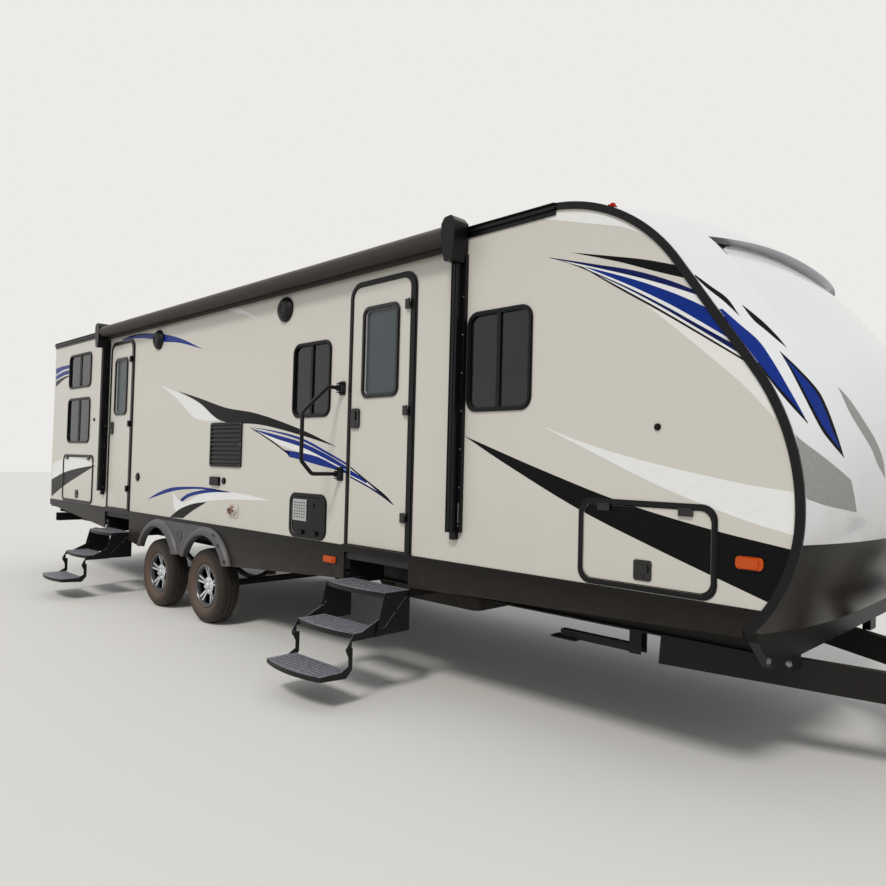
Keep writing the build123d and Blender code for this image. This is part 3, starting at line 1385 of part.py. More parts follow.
with BuildPart() as vent_lid:
    with BuildSketch(Plane.XY.offset(VENT_LID_Z)):
        with Locations((VENT_X, 0)):
            RectangleRounded(VENT_LID_SIZE, VENT_LID_SIZE, 30)
    extrude(amount=22)
    with BuildSketch(Plane.XY.offset(VENT_LID_Z + 22)):
        with Locations((VENT_X, 0)):
            RectangleRounded(VENT_LID_SIZE - 60, VENT_LID_SIZE - 60, 30)
    extrude(amount=14, taper=30)
    with BuildSketch(upright(60)):
        with Locations((VENT_X + VENT_LID_SIZE / 2, VENT_LID_Z)):
            Circle(VENT_PIN_R)
    extrude(amount=120)
pieces["vent_lid"] = vent_lid

with BuildPart() as rear_bumper:
    with BuildSketch(upright(0)):
        with Locations((REAR_X - 80, 650)):
            RectangleRounded(102, 102, 10)
            RectangleRounded(94, 94, 8, mode=Mode.SUBTRACT)
    extrude(amount=1100, both=True)
    with BuildSketch(Plane.XY.offset(RAIL_BOTTOM_Z + 20)):
        with Locations((REAR_X - 5, -RAIL_Y), (REAR_X - 5, RAIL_Y)):
            Rectangle(49, 80)
    extrude(amount=60)
pieces["rear_bumper"] = rear_bumper

# Stabiliser stands, folded up: a channel arm with a foot plate under its end

STAND_FOOT = 180.0

for end, x in STAND_X.items():
    for hand, side in (("right", -1), ("left", 1)):
        with BuildPart() as stand:
            with BuildSketch(upright(side * RAIL_Y + 22)):
                with Locations((x, STAND_PIVOT_Z)):
                    Circle(22)
                with Locations((x - STAND_LENGTH / 2, STAND_PIVOT_Z)):
                    Rectangle(STAND_LENGTH, 44)
                with Locations((x, STAND_PIVOT_Z)):
                    Circle(STAND_PIN_R + PIN_GAP, mode=Mode.SUBTRACT)
            extrude(amount=44)
            with BuildSketch(cross_section(x - STAND_LENGTH - 1)):
                with Locations((side * RAIL_Y, STAND_PIVOT_Z - 10)):
                    Rectangle(34, 44)
            extrude(amount=STAND_LENGTH - 60, mode=Mode.SUBTRACT)
            with BuildSketch(Plane.XY.offset(STAND_PIVOT_Z - 30)):
                with Locations((x - STAND_LENGTH + 30, side * RAIL_Y)):
                    RectangleRounded(STAND_FOOT, 100, 14)
            extrude(amount=8.5)
        pieces[f"stand_{end}_{hand}"] = stand

# Folding steps: three treads to a set, each with its cheeks, turning on pins

STEP_SETS = {"main": MAIN_STEP_X, "rear": REAR_STEP_X}
STEP_PIN_R = 8.0
LUG_R = 17.0
TREAD_RIBS = 6
MIDDLE_CHEEK_DROP = 45.0
# Pivots beside each tread's outer edge; the middle step turns over and lies under the upper one
PIVOT_1 = (TOP_TREAD_Y - 115, TOP_TREAD_Z - TREAD_THICK / 2 - 140)
PIVOT_2 = (TOP_TREAD_Y - STEP_RUN - 135, TOP_TREAD_Z - STEP_RISE - TREAD_THICK / 2 - 80)


def step_part(x, y, z, half, outline, corner, holes=(), pins=()):
    """A bowed, ribbed tread with a cheek at each end, drawn as a rounded polygon of (y, z) points."""
    back = y + TREAD_DEPTH / 2
    front = y - TREAD_DEPTH / 2
    with BuildPart() as step:
        with BuildSketch(Plane.XY.offset(z - TREAD_THICK)):
            with BuildLine():
                Polyline((x - half, front), (x - half, back), (x + half, back), (x + half, front))
                ThreePointArc((x + half, front), (x, front - TREAD_BOW), (x - half, front))
            make_face()
        extrude(amount=TREAD_THICK)
        with BuildSketch(Plane.XY.offset(z - TREAD_THICK)):
            with BuildLine():
                Polyline(
                    (x - half + 4, front + 3), (x - half + 4, back - 4), (x + half - 4, back - 4), (x + half - 4, front + 3)
                )
                ThreePointArc((x + half - 4, front + 3), (x, front - TREAD_BOW + 4), (x - half + 4, front + 3))
            make_face()
        extrude(amount=TREAD_THICK - 5, mode=Mode.SUBTRACT)
        # ribs along the tread's top
        with BuildSketch(Plane.XY.offset(z - 0.5)):
            for row in range(TREAD_RIBS):
                with Locations((x, back - 30 - row * (TREAD_DEPTH - 45) / (TREAD_RIBS - 1))):
                    Rectangle(2 * half - 60, 12)
        extrude(amount=3)
        for place, way in ((x - half - STEP_CHEEK, -1), (x + half, 1)):
            with BuildSketch(cross_section(place)):
                with BuildLine():
                    FilletPolyline(*outline, radius=corner, close=True)
                make_face()
                with Locations(*holes, *pins):
                    Circle(LUG_R)
                if holes:
                    with Locations(*holes):
                        Circle(STEP_PIN_R + PIN_GAP, mode=Mode.SUBTRACT)
            extrude(amount=STEP_CHEEK)
            # each pin reaches inwards through the next step's cheek
            if pins:
                with BuildSketch(cross_section(x + way * (half + STEP_CHEEK))):
                    with Locations(*pins):
                        Circle(STEP_PIN_R)
                extrude(amount=-way * (2 * STEP_CHEEK + STEP_CHEEK_GAP + 2))
    return step


for name, x in STEP_SETS.items():
    y, z, half = TOP_TREAD_Y, TOP_TREAD_Z, TREAD_HALF
    back, front = y + TREAD_DEPTH / 2, y - TREAD_DEPTH / 2
    upper = step_part(x, y, z, half, (
        (back + 130, z - TREAD_THICK),
        (back + 130, z - 1),
        (front, z - 1),
        (front - 66, z - 262),
        (back, z - 262),
        (back, z - TREAD_THICK),
    ), 6, pins=(PIVOT_1,))
    # crossed arms riveted to the outside of each side plate
    with BuildPart() as upper_braced:
        add(upper.part)
        for place in (x - half - STEP_CHEEK - 4, x + half + STEP_CHEEK):
            with BuildSketch(cross_section(place)):
                with BuildLine():
                    Polyline((front + 16, z - 30), (front + 42, z - 30), (back - 20, z - 236), (back - 46, z - 236), (front + 16, z - 30))
                make_face()
                with BuildLine():
                    Polyline((back - 20, z - 50), (back - 46, z - 50), (front - 22, z - 236), (front + 4, z - 236), (back - 20, z - 50))
                make_face()
                with Locations((front + 30, z - 40), (back - 34, z - 226), (front - 8, z - 226), (back - 34, z - 60)):
                    Circle(15)
            extrude(amount=4)
    pieces[f"{name}_step_upper"] = upper_braced

    y, z, half = y - STEP_RUN, z - STEP_RISE, half - STEP_CHEEK_GAP - STEP_CHEEK
    back, front = y + TREAD_DEPTH / 2, y - TREAD_DEPTH / 2
    pieces[f"{name}_step_middle"] = step_part(x, y, z, half, (
        (PIVOT_1[0] + LUG_R - 1, PIVOT_1[1]),
        (PIVOT_1[0] - LUG_R + 1, PIVOT_1[1]),
        (front + 60, z - 1),
        (front, z - 1),
        (PIVOT_2[0] - LUG_R + 1, PIVOT_2[1] + 20),
        (PIVOT_2[0] - LUG_R + 1, PIVOT_2[1]),
        (PIVOT_2[0] + LUG_R - 1, PIVOT_2[1]),
        (PIVOT_2[0] + LUG_R - 1, z - MIDDLE_CHEEK_DROP),
        (back, z - MIDDLE_CHEEK_DROP),
    ), 4, holes=(PIVOT_1,), pins=(PIVOT_2,))

    y, z, half = y - STEP_RUN, z - STEP_RISE, half - STEP_CHEEK_GAP - STEP_CHEEK
    back, front = y + TREAD_DEPTH / 2, y - TREAD_DEPTH / 2
    pieces[f"{name}_step_lower"] = step_part(x, y, z, half, (
        (PIVOT_2[0] + 34, PIVOT_2[1] + 10),
        (PIVOT_2[0] - 14, PIVOT_2[1] + 10),
        (PIVOT_2[0] - 14, PIVOT_2[1] - 10),
        (PIVOT_2[0] + 6, PIVOT_2[1] - 50),
        (PIVOT_2[0] + 6, z + 30),
        (back - 60, z - 1),
        (front, z - 1),
        (front, z - TREAD_THICK),
        (back - 20, z - TREAD_THICK - 14),
        (PIVOT_2[0] + 34, z + 6),
    ), 6, holes=(PIVOT_2,))

os.makedirs("parts", exist_ok=True)
for name, piece in pieces.items():
    piece.part.label = name
    export_step(piece.part, f"parts/{name}.step")
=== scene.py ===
"""A travel caravan's looks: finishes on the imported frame, vinyl stripes, small fittings, and the stage."""

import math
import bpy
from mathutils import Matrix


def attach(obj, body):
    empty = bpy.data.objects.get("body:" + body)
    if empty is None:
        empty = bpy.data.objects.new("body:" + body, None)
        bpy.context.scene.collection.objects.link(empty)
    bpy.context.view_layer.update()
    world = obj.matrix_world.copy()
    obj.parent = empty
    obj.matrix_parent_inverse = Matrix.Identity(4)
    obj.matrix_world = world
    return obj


bl_info = {
    "name": "Travel Caravan",
    "version": (1, 0, 0),
    "blender": (4, 5, 0),
    "location": "View3D > Sidebar > Caravan",
    "description": "Dresses a two-axle travel caravan and sets its stage",
    "category": "Add Mesh",
}

from collections import namedtuple

import bmesh
import bpy
from bpy.props import FloatProperty, FloatVectorProperty, IntProperty, PointerProperty
from mathutils import Matrix, Vector
from mathutils.bvhtree import BVHTree
from mathutils.geometry import interpolate_bezier

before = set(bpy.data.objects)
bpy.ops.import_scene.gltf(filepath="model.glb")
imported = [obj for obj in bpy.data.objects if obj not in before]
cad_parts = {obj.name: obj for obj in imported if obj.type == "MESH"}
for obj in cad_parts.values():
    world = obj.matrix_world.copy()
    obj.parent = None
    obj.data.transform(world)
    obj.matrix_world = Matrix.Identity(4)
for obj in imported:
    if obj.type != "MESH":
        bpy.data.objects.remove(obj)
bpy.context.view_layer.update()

# Sizes shared with the part's source, in metres; a station is a distance ahead of the rear wall
MM = 0.001
REAR_X = -9.950
WALL_Y = 1.220
DOOR_FACE_Y = 1.222
AXLES = ((-6.684, 0.3335), (-5.718, 0.3335))
WHEEL_FACE_Y = 1.1805
CORNER_CUT = 1 - math.sqrt(0.5)

Opening = namedtuple("Opening", "x0 x1 z0 z1 corner")
Stripe = namedtuple("Stripe", "colour layer upper lower")

# Stations and heights in mm
UPPER_BUNK_WINDOW = Opening(560, 1282, 2305, 2715, 70)
LOWER_BUNK_WINDOW = Opening(560, 1282, 1630, 2170, 70)
KITCHEN_WINDOW = Opening(5542, 6012, 1820, 2378, 70)
SALON_WINDOW = Opening(4900, 6100, 1820, 2378, 70)
FRONT_WINDOW = Opening(7380, 7852, 1810, 2392, 70)
MAIN_DOORWAY = Opening(6242, 6940, 880, 2800, 60)
REAR_HATCH = Opening(462, 1430, 925, 1455, 60)
FRONT_HATCH = Opening(8213, 8898, 925, 1310, 60)
HEATER_GRILLE = Opening(5580, 5760, 1027, 1190, 0)
ARM_STATIONS = (1810, 7322)
FRIDGE_VENT = Opening(4254, 4794, 1410, 1800, 14)
HEATER_FLUE = (4687, 1035)
# station, height and lean in degrees
FENDER_CLIPS = ((4436, 810, 64), (4525, 726, 49), (4637, 599, 28))

# Places of small fittings, in metres; each that has a side is mirrored
CLIP_Y = 1.2705
LAMP_LENS = (REAR_X + 8.320, 1.168, 2.858)
LAMP_BASE = (REAR_X + 8.318, 1.168, 2.852)
ROOF_SLOPE = math.radians(17)
PIN_X = REAR_X + 7.352
PIN_FOOT_Z = 1.137
HEADER_BOLT = (-0.861, 1.0526, 0.645)
RAIL_BOLT = (-0.8773, 0.740, 0.574)
BLIND_Y = -1.190
BLIND_Z = (2.165, 2.375)
FLOOR_TOP_Z = 0.8945

# Vinyl stripes on the side walls, mirrored from side to side
SIDE_STRIPES = (
    # rear, beside the bunk windows
    Stripe("blue", 1, ((20, 2600), (295, 2615), (600, 2610)), ((30, 2525), (300, 2565), (600, 2570))),
    Stripe("blue", 1, ((30, 2505), (305, 2540), (600, 2550)), ((40, 2450), (310, 2490), (600, 2500))),
    Stripe("black", 1, ((40, 2430), (310, 2470), (600, 2485)), ((50, 2360), (315, 2435), (600, 2475))),
    # crescent over the rear door
    Stripe("blue", 1,
        ((2170, 2775), (2475, 2790), (2815, 2770), (3225, 2715), (3605, 2630), (4040, 2490)),
        ((2170, 2760), (2480, 2750), (2820, 2715), (3185, 2645), (3570, 2595), (4040, 2490))),
    Stripe("black", 2,
        ((2170, 2775), (2475, 2790), (2900, 2762), (3260, 2707)),
        ((2170, 2768), (2475, 2777), (2900, 2751), (3260, 2705))),
    # low sweep across the rear storage lid
    Stripe("white", 1,
        ((40, 1350), (465, 1435), (970, 1430), (1500, 1385)),
        ((15, 1145), (485, 1250), (980, 1315), (1500, 1365))),
    Stripe("black", 2,
        ((15, 1145), (485, 1250), (980, 1315), (1500, 1360)),
        ((40, 925), (505, 1085), (990, 1220), (1500, 1355))),
    # long black blade under the kitchen window, with its white edge
    Stripe("white", 1,
        ((3155, 2205), (3525, 2120), (4000, 1990), (4260, 1875), (4385, 1815)),
        ((3155, 2205), (3485, 2080), (3695, 1970), (3935, 1850), (4385, 1810))),
    Stripe("black", 2,
        ((3565, 2125), (4035, 2030), (4500, 1930), (5005, 1865), (5645, 1725), (6110, 1590)),
        ((3565, 2125), (4000, 1995), (4405, 1820), (5070, 1770), (5650, 1680), (6110, 1590))),
    # small white blade under the awning
    Stripe("white", 1,
        ((4570, 2835), (4760, 2755), (4950, 2670)),
        ((4330, 2835), (4640, 2755), (4950, 2668))),
    # blue sweep that runs on across the main door
    Stripe("blue", 2,
        ((4860, 1755), (5215, 1725), (5650, 1660), (5995, 1555), (6278, 1458)),
        ((4860, 1755), (5220, 1715), (5650, 1640), (6000, 1535), (6278, 1444))),
    Stripe("white", 1,
        ((4925, 1740), (5305, 1665), (5655, 1600), (6000, 1500), (6278, 1414)),
        ((4925, 1740), (5060, 1698), (5265, 1628), (5655, 1545), (6278, 1385))),
    Stripe("blue", 2,
        ((4925, 1740), (5305, 1685), (5655, 1625), (6000, 1530), (6278, 1432)),
        ((4925, 1740), (5305, 1655), (5655, 1590), (6000, 1495), (6278, 1410))),
    Stripe("black", 3,
        ((4925, 1745), (5060, 1705), (5265, 1635), (5435, 1565), (5500, 1545)),
        ((4925, 1740), (5060, 1695), (5265, 1620), (5450, 1545), (5505, 1525))),
    Stripe("blue", 3,
        ((5435, 1565), (5655, 1545), (5880, 1515), (6115, 1450), (6278, 1410)),
        ((5505, 1510), (5660, 1490), (5885, 1455), (6070, 1430), (6278, 1392))),
    # over the wheels
    Stripe("blue", 2,
        ((2960, 1040), (3180, 1115), (3435, 1175), (3675, 1200), (4130, 1215), (4610, 1195)),
        ((2960, 1040), (3270, 1105), (3515, 1150), (3715, 1175), (4060, 1195), (4610, 1193))),
    Stripe("blue", 2,
        ((3685, 1080), (3835, 1140), (4095, 1185), (4345, 1205), (4610, 1195)),
        ((3725, 1060), (3875, 1115), (4100, 1155), (4345, 1180), (4615, 1190))),
    Stripe("white", 1,
        ((3520, 1140), (3725, 1055), (4100, 1150), (4580, 1190), (4865, 1185), (5250, 1155)),
        ((3520, 1135), (3615, 950), (3995, 1060), (4485, 1120), (4870, 1140), (5250, 1155))),
    Stripe("black", 2,
        ((3475, 895), (3690, 990), (3955, 1055), (4210, 1085)),
        ((3755, 905), (3925, 980), (4070, 1035), (4210, 1085))),
    # black and white blades that run forward over the front storage lid
    Stripe("black", 2,
        ((7360, 1660), (7940, 1470), (8445, 1320), (8890, 1225), (9265, 1165)),
        ((7360, 1660), (7670, 1505), (8175, 1275), (8625, 1110), (9185, 922))),
    Stripe("white", 1,
        ((7935, 1710), (8200, 1620), (8550, 1530), (9045, 1435), (9245, 1410)),
        ((7935, 1710), (8200, 1595), (8650, 1405), (9050, 1275), (9245, 1230))),
    # upper front, above the white shell's edge
    Stripe("black", 2,
        ((8105, 2635), (8315, 2580), (8535, 2520), (8740, 2450)),
        ((8105, 2635), (8390, 2535), (8600, 2450), (8810, 2370))),
    Stripe("pale", 1,
        ((8535, 2305), (8670, 2220), (8800, 2135), (9065, 1955), (9165, 1725)),
        ((8535, 2305), (8700, 2165), (8865, 2020), (9030, 1870), (9165, 1720))),
    Stripe("white", 2,
        ((7960, 2635), (8240, 2550), (8480, 2475), (8670, 2395), (8850, 2300)),
        ((8180, 2545), (8395, 2405), (8605, 2275), (8800, 2143), (9060, 1962))),
    Stripe("navy", 3,
        ((7960, 2635), (8240, 2550), (8480, 2475), (8670, 2395), (8850, 2300)),
        ((7960, 2632), (8240, 2534), (8480, 2446), (8670, 2368), (8880, 2272))),
    Stripe("blue", 4,
        ((8190, 2545), (8480, 2430), (8670, 2342), (8800, 2272), (8950, 2180)),
        ((8190, 2543), (8465, 2400), (8670, 2282), (8800, 2197), (9000, 2060))),
    Stripe("navy", 4,
        ((8215, 2522), (8465, 2386), (8670, 2262), (8800, 2177), (9005, 2045)),
        ((8180, 2535), (8395, 2417), (8605, 2289), (8800, 2158), (9060, 1980))),
    Stripe("black", 4,
        ((8180, 2543), (8395, 2408), (8605, 2275), (8800, 2145), (9060, 1968)),
        ((8180, 2540), (8395, 2397), (8605, 2264), (8800, 2134), (9065, 1956))),
    # white corner over the front window
    Stripe("white", 1,
        ((7860, 2878), (8000, 2870), (8100, 2852), (8200, 2828), (8300, 2790), (8400, 2735), (8540, 2640)),
        ((7885, 2868), (7980, 2838), (8075, 2810), (8180, 2778), (8310, 2740), (8430, 2700), (8555, 2630))),
)

# The blue sweep's end, on the main door
DOOR_STRIPES = (
    Stripe("white", 1,
        ((6275, 1450), (6460, 1360), (6660, 1265), (6740, 1210)),
        ((6275, 1375), (6460, 1320), (6620, 1262), (6740, 1208))),
    Stripe("black", 2,
        ((6275, 1452), (6460, 1362), (6660, 1267), (6740, 1212)),
        ((6275, 1440), (6460, 1348), (6620, 1268), (6740, 1208))),
    Stripe("navy", 2,
        ((6275, 1385), (6460, 1330), (6620, 1272), (6740, 1210)),
        ((6275, 1373), (6460, 1317), (6620, 1258), (6740, 1206))),
    Stripe("blue", 2, ((6275, 1428), (6370, 1392), (6460, 1352)), ((6275, 1392), (6370, 1366), (6455, 1340))),
)

# Vinyl on the front shell: distance along its diagonal face, and height, in mm
SHELL_STRIPES = (
    # shaded corner under the brow
    Stripe("black", 1,
        ((5508, 2634), (5560, 2652), (5620, 2657), (5670, 2658)),
        ((5556, 2538), (5575, 2580), (5612, 2625), (5670, 2654))),
    Stripe("black", 1,
        ((5362, 2408), (5425, 2350), (5495, 2285), (5535, 2195)),
        ((5362, 2395), (5405, 2340), (5475, 2270), (5535, 2195))),
    Stripe("blue", 1,
        ((5460, 2230), (5525, 2155), (5595, 2075), (5635, 1985), (5685, 1855), (5750, 1705)),
        ((5445, 2228), (5500, 2110), (5560, 1990), (5618, 1872), (5680, 1785), (5750, 1705))),
    Stripe("black", 2,
        ((5572, 1970), (5632, 1868), (5692, 1790), (5750, 1710)),
        ((5567, 1966), (5622, 1864), (5681, 1780), (5750, 1702))),
    Stripe("black", 1,
        ((5560, 2255), (5605, 2210), (5645, 2165), (5690, 2100), (5720, 2045)),
        ((5560, 2250), (5595, 2180), (5645, 2125), (5685, 2080), (5720, 2045))),
    Stripe("black", 1,
        ((5680, 2030), (5750, 1950), (5830, 1850), (5860, 1780), (5895, 1670), (5930, 1560)),
        ((5680, 2030), (5705, 1960), (5755, 1815), (5815, 1680), (5865, 1620), (5930, 1560))),
    Stripe("blue", 2,
        ((5695, 1998), (5752, 1928), (5815, 1845), (5845, 1775), (5875, 1680), (5912, 1595)),
        ((5695, 1998), (5717, 1950), (5767, 1820), (5823, 1697), (5868, 1638), (5912, 1595))),
    Stripe("grey", 1,
        ((5684, 1652), (5715, 1625), (5785, 1580), (5970, 1465)),
        ((5718, 1385), (5770, 1370), (5830, 1355), (6020, 1325))),
    Stripe("grey", 1,
        ((5945, 1875), (6000, 1820), (6075, 1730), (6150, 1645), (6205, 1560), (6230, 1475)),
        ((5945, 1870), (5990, 1760), (6050, 1680), (6120, 1600), (6160, 1540), (6230, 1475))),
)


def linear(hex_colour):
    """A linear colour from an sRGB hex value."""
    channels = [int(hex_colour[i:i + 2], 16) / 255 for i in (1, 3, 5)]
    return tuple(c / 12.92 if c <= 0.04045 else ((c + 0.055) / 1.055) ** 2.4 for c in channels)


def add_node(tree, kind, settings=None, links=None):
    """A node with its input values or attributes set and its inputs linked."""
    node = tree.nodes.new(kind)
    for key, value in (settings or {}).items():
        if isinstance(key, int) or key in node.inputs:
            node.inputs[key].default_value = value
        else:
            setattr(node, key, value)
    for key, source in (links or {}).items():
        tree.links.new(source, node.inputs[key])
    return node


def finish(name, colour, roughness, **values):
    """A material with one Principled surface; its nodes are added to afterwards."""
    material = bpy.data.materials.new(name)
    material.use_nodes = True
    tree = material.node_tree
    surface = tree.nodes["Principled BSDF"]
    surface.inputs["Base Color"].default_value = (*linear(colour), 1)
    surface.inputs["Roughness"].default_value = roughness
    for key, value in values.items():
        surface.inputs[key.replace("_", " ")].default_value = value
    return material, tree, surface


def grained(tree, surface, size, depth):
    """Lumps of a size in the surface, a depth in millimetres from low to high."""
    place = add_node(tree, "ShaderNodeTexCoord")
    lumps = add_node(
        tree,
        "ShaderNodeTexNoise",
        {"Scale": 1 / (size * MM), "Detail": 2.0},
        {"Vector": place.outputs["Object"]},
    )
    relief = add_node(
        tree, "ShaderNodeBump", {"Strength": 0.6, "Distance": depth * MM}, {"Height": lumps.outputs["Fac"]}
    )
    tree.links.new(relief.outputs["Normal"], surface.inputs["Normal"])


def coordinates(tree):
    """The surface's place, whole and as its three axes."""
    place = add_node(tree, "ShaderNodeTexCoord")
    axes = add_node(tree, "ShaderNodeSeparateXYZ", links={"Vector": place.outputs["Object"]})
    return place, axes


def soil_and_reflection(tree, surface, soil_and_reflection_tone, start_z, full_z, patch, most):
    """Dust on what colours the surface, and on the black nose a painted reflection of the ground: none at one
    height, most at another, in patches of a size in mm.
    """
    place, axes = coordinates(tree)
    fall = add_node(
        tree,
        "ShaderNodeMapRange",
        {"From Min": start_z, "From Max": full_z, "To Min": 0.0, "To Max": most},
        {"Value": axes.outputs["Z"]},
    )
    patches = add_node(
        tree,
        "ShaderNodeTexNoise",
        {"Scale": 1 / (patch * MM), "Detail": 6.0, "Roughness": 0.65},
        {"Vector": place.outputs["Object"]},
    )
    spread = add_node(
        tree,
        "ShaderNodeMapRange",
        {"From Min": 0.3, "From Max": 0.7, "To Min": 0.25, "To Max": 1.0},
        {"Value": patches.outputs["Fac"]},
    )
    amount = add_node(
        tree,
        "ShaderNodeMath",
        {"operation": "MULTIPLY", "use_clamp": True},
        {0: fall.outputs["Result"], 1: spread.outputs["Result"]},
    )
    blend(tree, surface, amount.outputs["Value"], soil_and_reflection_tone)


def dust_and_highlight_on_top(tree, surface, dust_and_highlight_tone, patch, most):
    """Settled dust on faces that look up, in patches of a size in mm; on the steps and the awning roll it is
    also a painted highlight of the sky.
    """
    face = add_node(tree, "ShaderNodeNewGeometry")
    axes = add_node(tree, "ShaderNodeSeparateXYZ", links={"Vector": face.outputs["Normal"]})
    place = add_node(tree, "ShaderNodeTexCoord")
    patches = add_node(
        tree,
        "ShaderNodeTexNoise",
        {"Scale": 1 / (patch * MM), "Detail": 5.0},
        {"Vector": place.outputs["Object"]},
    )
    lying = add_node(
        tree,
        "ShaderNodeMapRange",
        {"From Min": 0.25, "From Max": 1.0, "To Min": 0.0, "To Max": most},
        {"Value": axes.outputs["Z"]},
    )
    amount = add_node(
        tree,
        "ShaderNodeMath",
        {"operation": "MULTIPLY", "use_clamp": True},
        {0: lying.outputs["Result"], 1: patches.outputs["Fac"]},
    )
    blend(tree, surface, amount.outputs["Value"], dust_and_highlight_tone)


def blend(tree, surface, share, colour):
    """Lays a share of a second colour over what colours the surface so far."""
    socket = surface.inputs["Base Color"]
    over = add_node(tree, "ShaderNodeMixRGB", {"Color2": (*linear(colour), 1)}, {"Fac": share})
    if socket.is_linked:
        tree.links.new(socket.links[0].from_socket, over.inputs["Color1"])
    else:
        over.inputs["Color1"].default_value = socket.default_value
    tree.links.new(over.outputs["Color"], socket)


def past(tree, axis, limit, mirrored=False):
    """1 where a coordinate, or its distance from the centre line, is over a limit in metres."""
    value = coordinates(tree)[1].outputs[axis]
    if mirrored:
        value = add_node(tree, "ShaderNodeMath", {"operation": "ABSOLUTE"}, {0: value}).outputs["Value"]
    over = add_node(tree, "ShaderNodeMath", {"operation": "GREATER_THAN", 1: limit}, {0: value})
    return over.outputs["Value"]


def within(tree, centre, radius, edge):
    """1 inside a radius of a place in the side's plane, fading to 0 over an edge, in metres."""
    place = add_node(tree, "ShaderNodeTexCoord")
    flat = add_node(
        tree,
        "ShaderNodeVectorMath",
        {"operation": "MULTIPLY", 1: (1, 0, 1)},
        {0: place.outputs["Object"]},
    )
    away = add_node(
        tree,
        "ShaderNodeVectorMath",
        {"operation": "DISTANCE", 1: (centre[0], 0, centre[1])},
        {0: flat.outputs["Vector"]},
    )
    return add_node(
        tree,
        "ShaderNodeMapRange",
        {"From Min": radius, "From Max": radius + edge, "To Min": 1.0, "To Max": 0.0},
        {"Value": away.outputs["Value"]},
    ).outputs["Result"]


def fibreglass(name):
    """Side sheet: satin greige gelcoat over plywood; faintly wavy, with a little road dust low down."""
    material, tree, surface = finish(name, "#C3BFB6", 0.34, Coat_Weight=0.1, Coat_Roughness=0.15)
    grained(tree, surface, 420, 1.4)
    soil_and_reflection(tree, surface, "#9C9282", 1.35, 0.85, 260, 0.22)
    soil_and_reflection(tree, surface, "#A39A8C", 2.3, 2.95, 35, 0.14)
    return material


def fibreglass_with_black_fittings(name, face_y):
    """Door or lid: the side sheet's gelcoat; what stands proud of its face is powder-coated black."""
    material, tree, surface = finish(name, "#C3BFB6", 0.32, Coat_Weight=0.1, Coat_Roughness=0.15)
    grained(tree, surface, 420, 1.0)
    soil_and_reflection(tree, surface, "#9C9282", 1.35, 0.85, 260, 0.22)
    blend(tree, surface, past(tree, "Y", face_y, mirrored=True), "#060607")
    return material


def fitting_plastic():
    """Moulded black hatches and ports; the heater flue alone is tin plate, rusted by its exhaust."""
    material, tree, surface = finish("fitting_plastic", "#09090A", 0.38, Specular_IOR_Level=0.25)
    grained(tree, surface, 2.5, 0.08)
    x, z = REAR_X + HEATER_FLUE[0] * MM, HEATER_FLUE[1] * MM
    blend(tree, surface, within(tree, (x, z), 0.100, 0.002), "#C4BEB8")
    blend(tree, surface, within(tree, (x - 0.015, z + 0.005), 0.022, 0.035), "#7E5340")
    return material


def machined_alloy():
    """Cast wheel: spoke faces machined bright, the pockets between them and the rim's well painted black."""
    material, tree, surface = finish("machined_alloy", "#151617", 0.3, Metallic=0.85)
    face = past(tree, "Y", WHEEL_FACE_Y, mirrored=True)
    spokes = add_node(
        tree,
        "ShaderNodeMath",
        {"operation": "MAXIMUM"},
        {0: within(tree, AXLES[0], 0.160, 0.004), 1: within(tree, AXLES[1], 0.160, 0.004)},
    )
    bright = add_node(
        tree, "ShaderNodeMath", {"operation": "MULTIPLY"}, {0: face, 1: spokes.outputs["Value"]}
    )
    blend(tree, surface, face, "#6B6D70")
    blend(tree, surface, bright.outputs["Value"], "#D9DBDE")
    grained(tree, surface, 5, 0.03)
    return material


def tread_rubber():
    """Tyre rubber: black and matt, brown dust round the rim, pale dust in the tread."""
    material, tree, surface = finish("tread_rubber", "#151312", 0.72, Specular_IOR_Level=0.3)
    grained(tree, surface, 4, 0.25)
    for axle in AXLES:
        blend(tree, surface, within(tree, axle, 0.205, 0.095), "#5A493F")
    soil_and_reflection(tree, surface, "#5E5246", 0.7, 0.0, 28, 0.45)
    return material


def awning_vinyl():
    """Vinyl-coated awning cloth, rolled tight: dark grey-brown, paler in patches along its top, partly dust
    and partly a painted sheen where it faces the sky.
    """
    material, tree, surface = finish("awning_vinyl", "#37302C", 0.6, Specular_IOR_Level=0.3)
    place = add_node(tree, "ShaderNodeTexCoord")
    # a 1.5 mm weave would not show, so it is drawn at 12 mm
    weave = add_node(
        tree,
        "ShaderNodeTexWave",
        {"Scale": 1 / (12 * MM) / 6.283, "Distortion": 1.5, "bands_direction": "X"},
        {"Vector": place.outputs["Object"]},
    )
    relief = add_node(tree, "ShaderNodeBump", {"Distance": 0.4 * MM}, {"Height": weave.outputs["Fac"]})
    tree.links.new(relief.outputs["Normal"], surface.inputs["Normal"])
    # paler top: dust, and a painted sheen where the roll faces the sky
    dust_and_highlight_on_top(tree, surface, "#8C857C", 120, 1.0)
    return material


def acrylic_lens():
    """Fluted acrylic lamp lenses: amber at the front and sides, red at the rear."""
    material, tree, surface = finish("acrylic_lens", "#A0140C", 0.15, Specular_IOR_Level=0.3)
    blend(tree, surface, past(tree, "X", -9.8), "#B84602")
    place = add_node(tree, "ShaderNodeTexCoord")
    flutes = add_node(
        tree,
        "ShaderNodeTexWave",
        {"Scale": 1 / (5 * MM) / 6.283, "bands_direction": "Z"},
        {"Vector": place.outputs["Object"]},
    )
    relief = add_node(tree, "ShaderNodeBump", {"Distance": 0.8 * MM}, {"Height": flutes.outputs["Fac"]})
    tree.links.new(relief.outputs["Normal"], surface.inputs["Normal"])
    return material


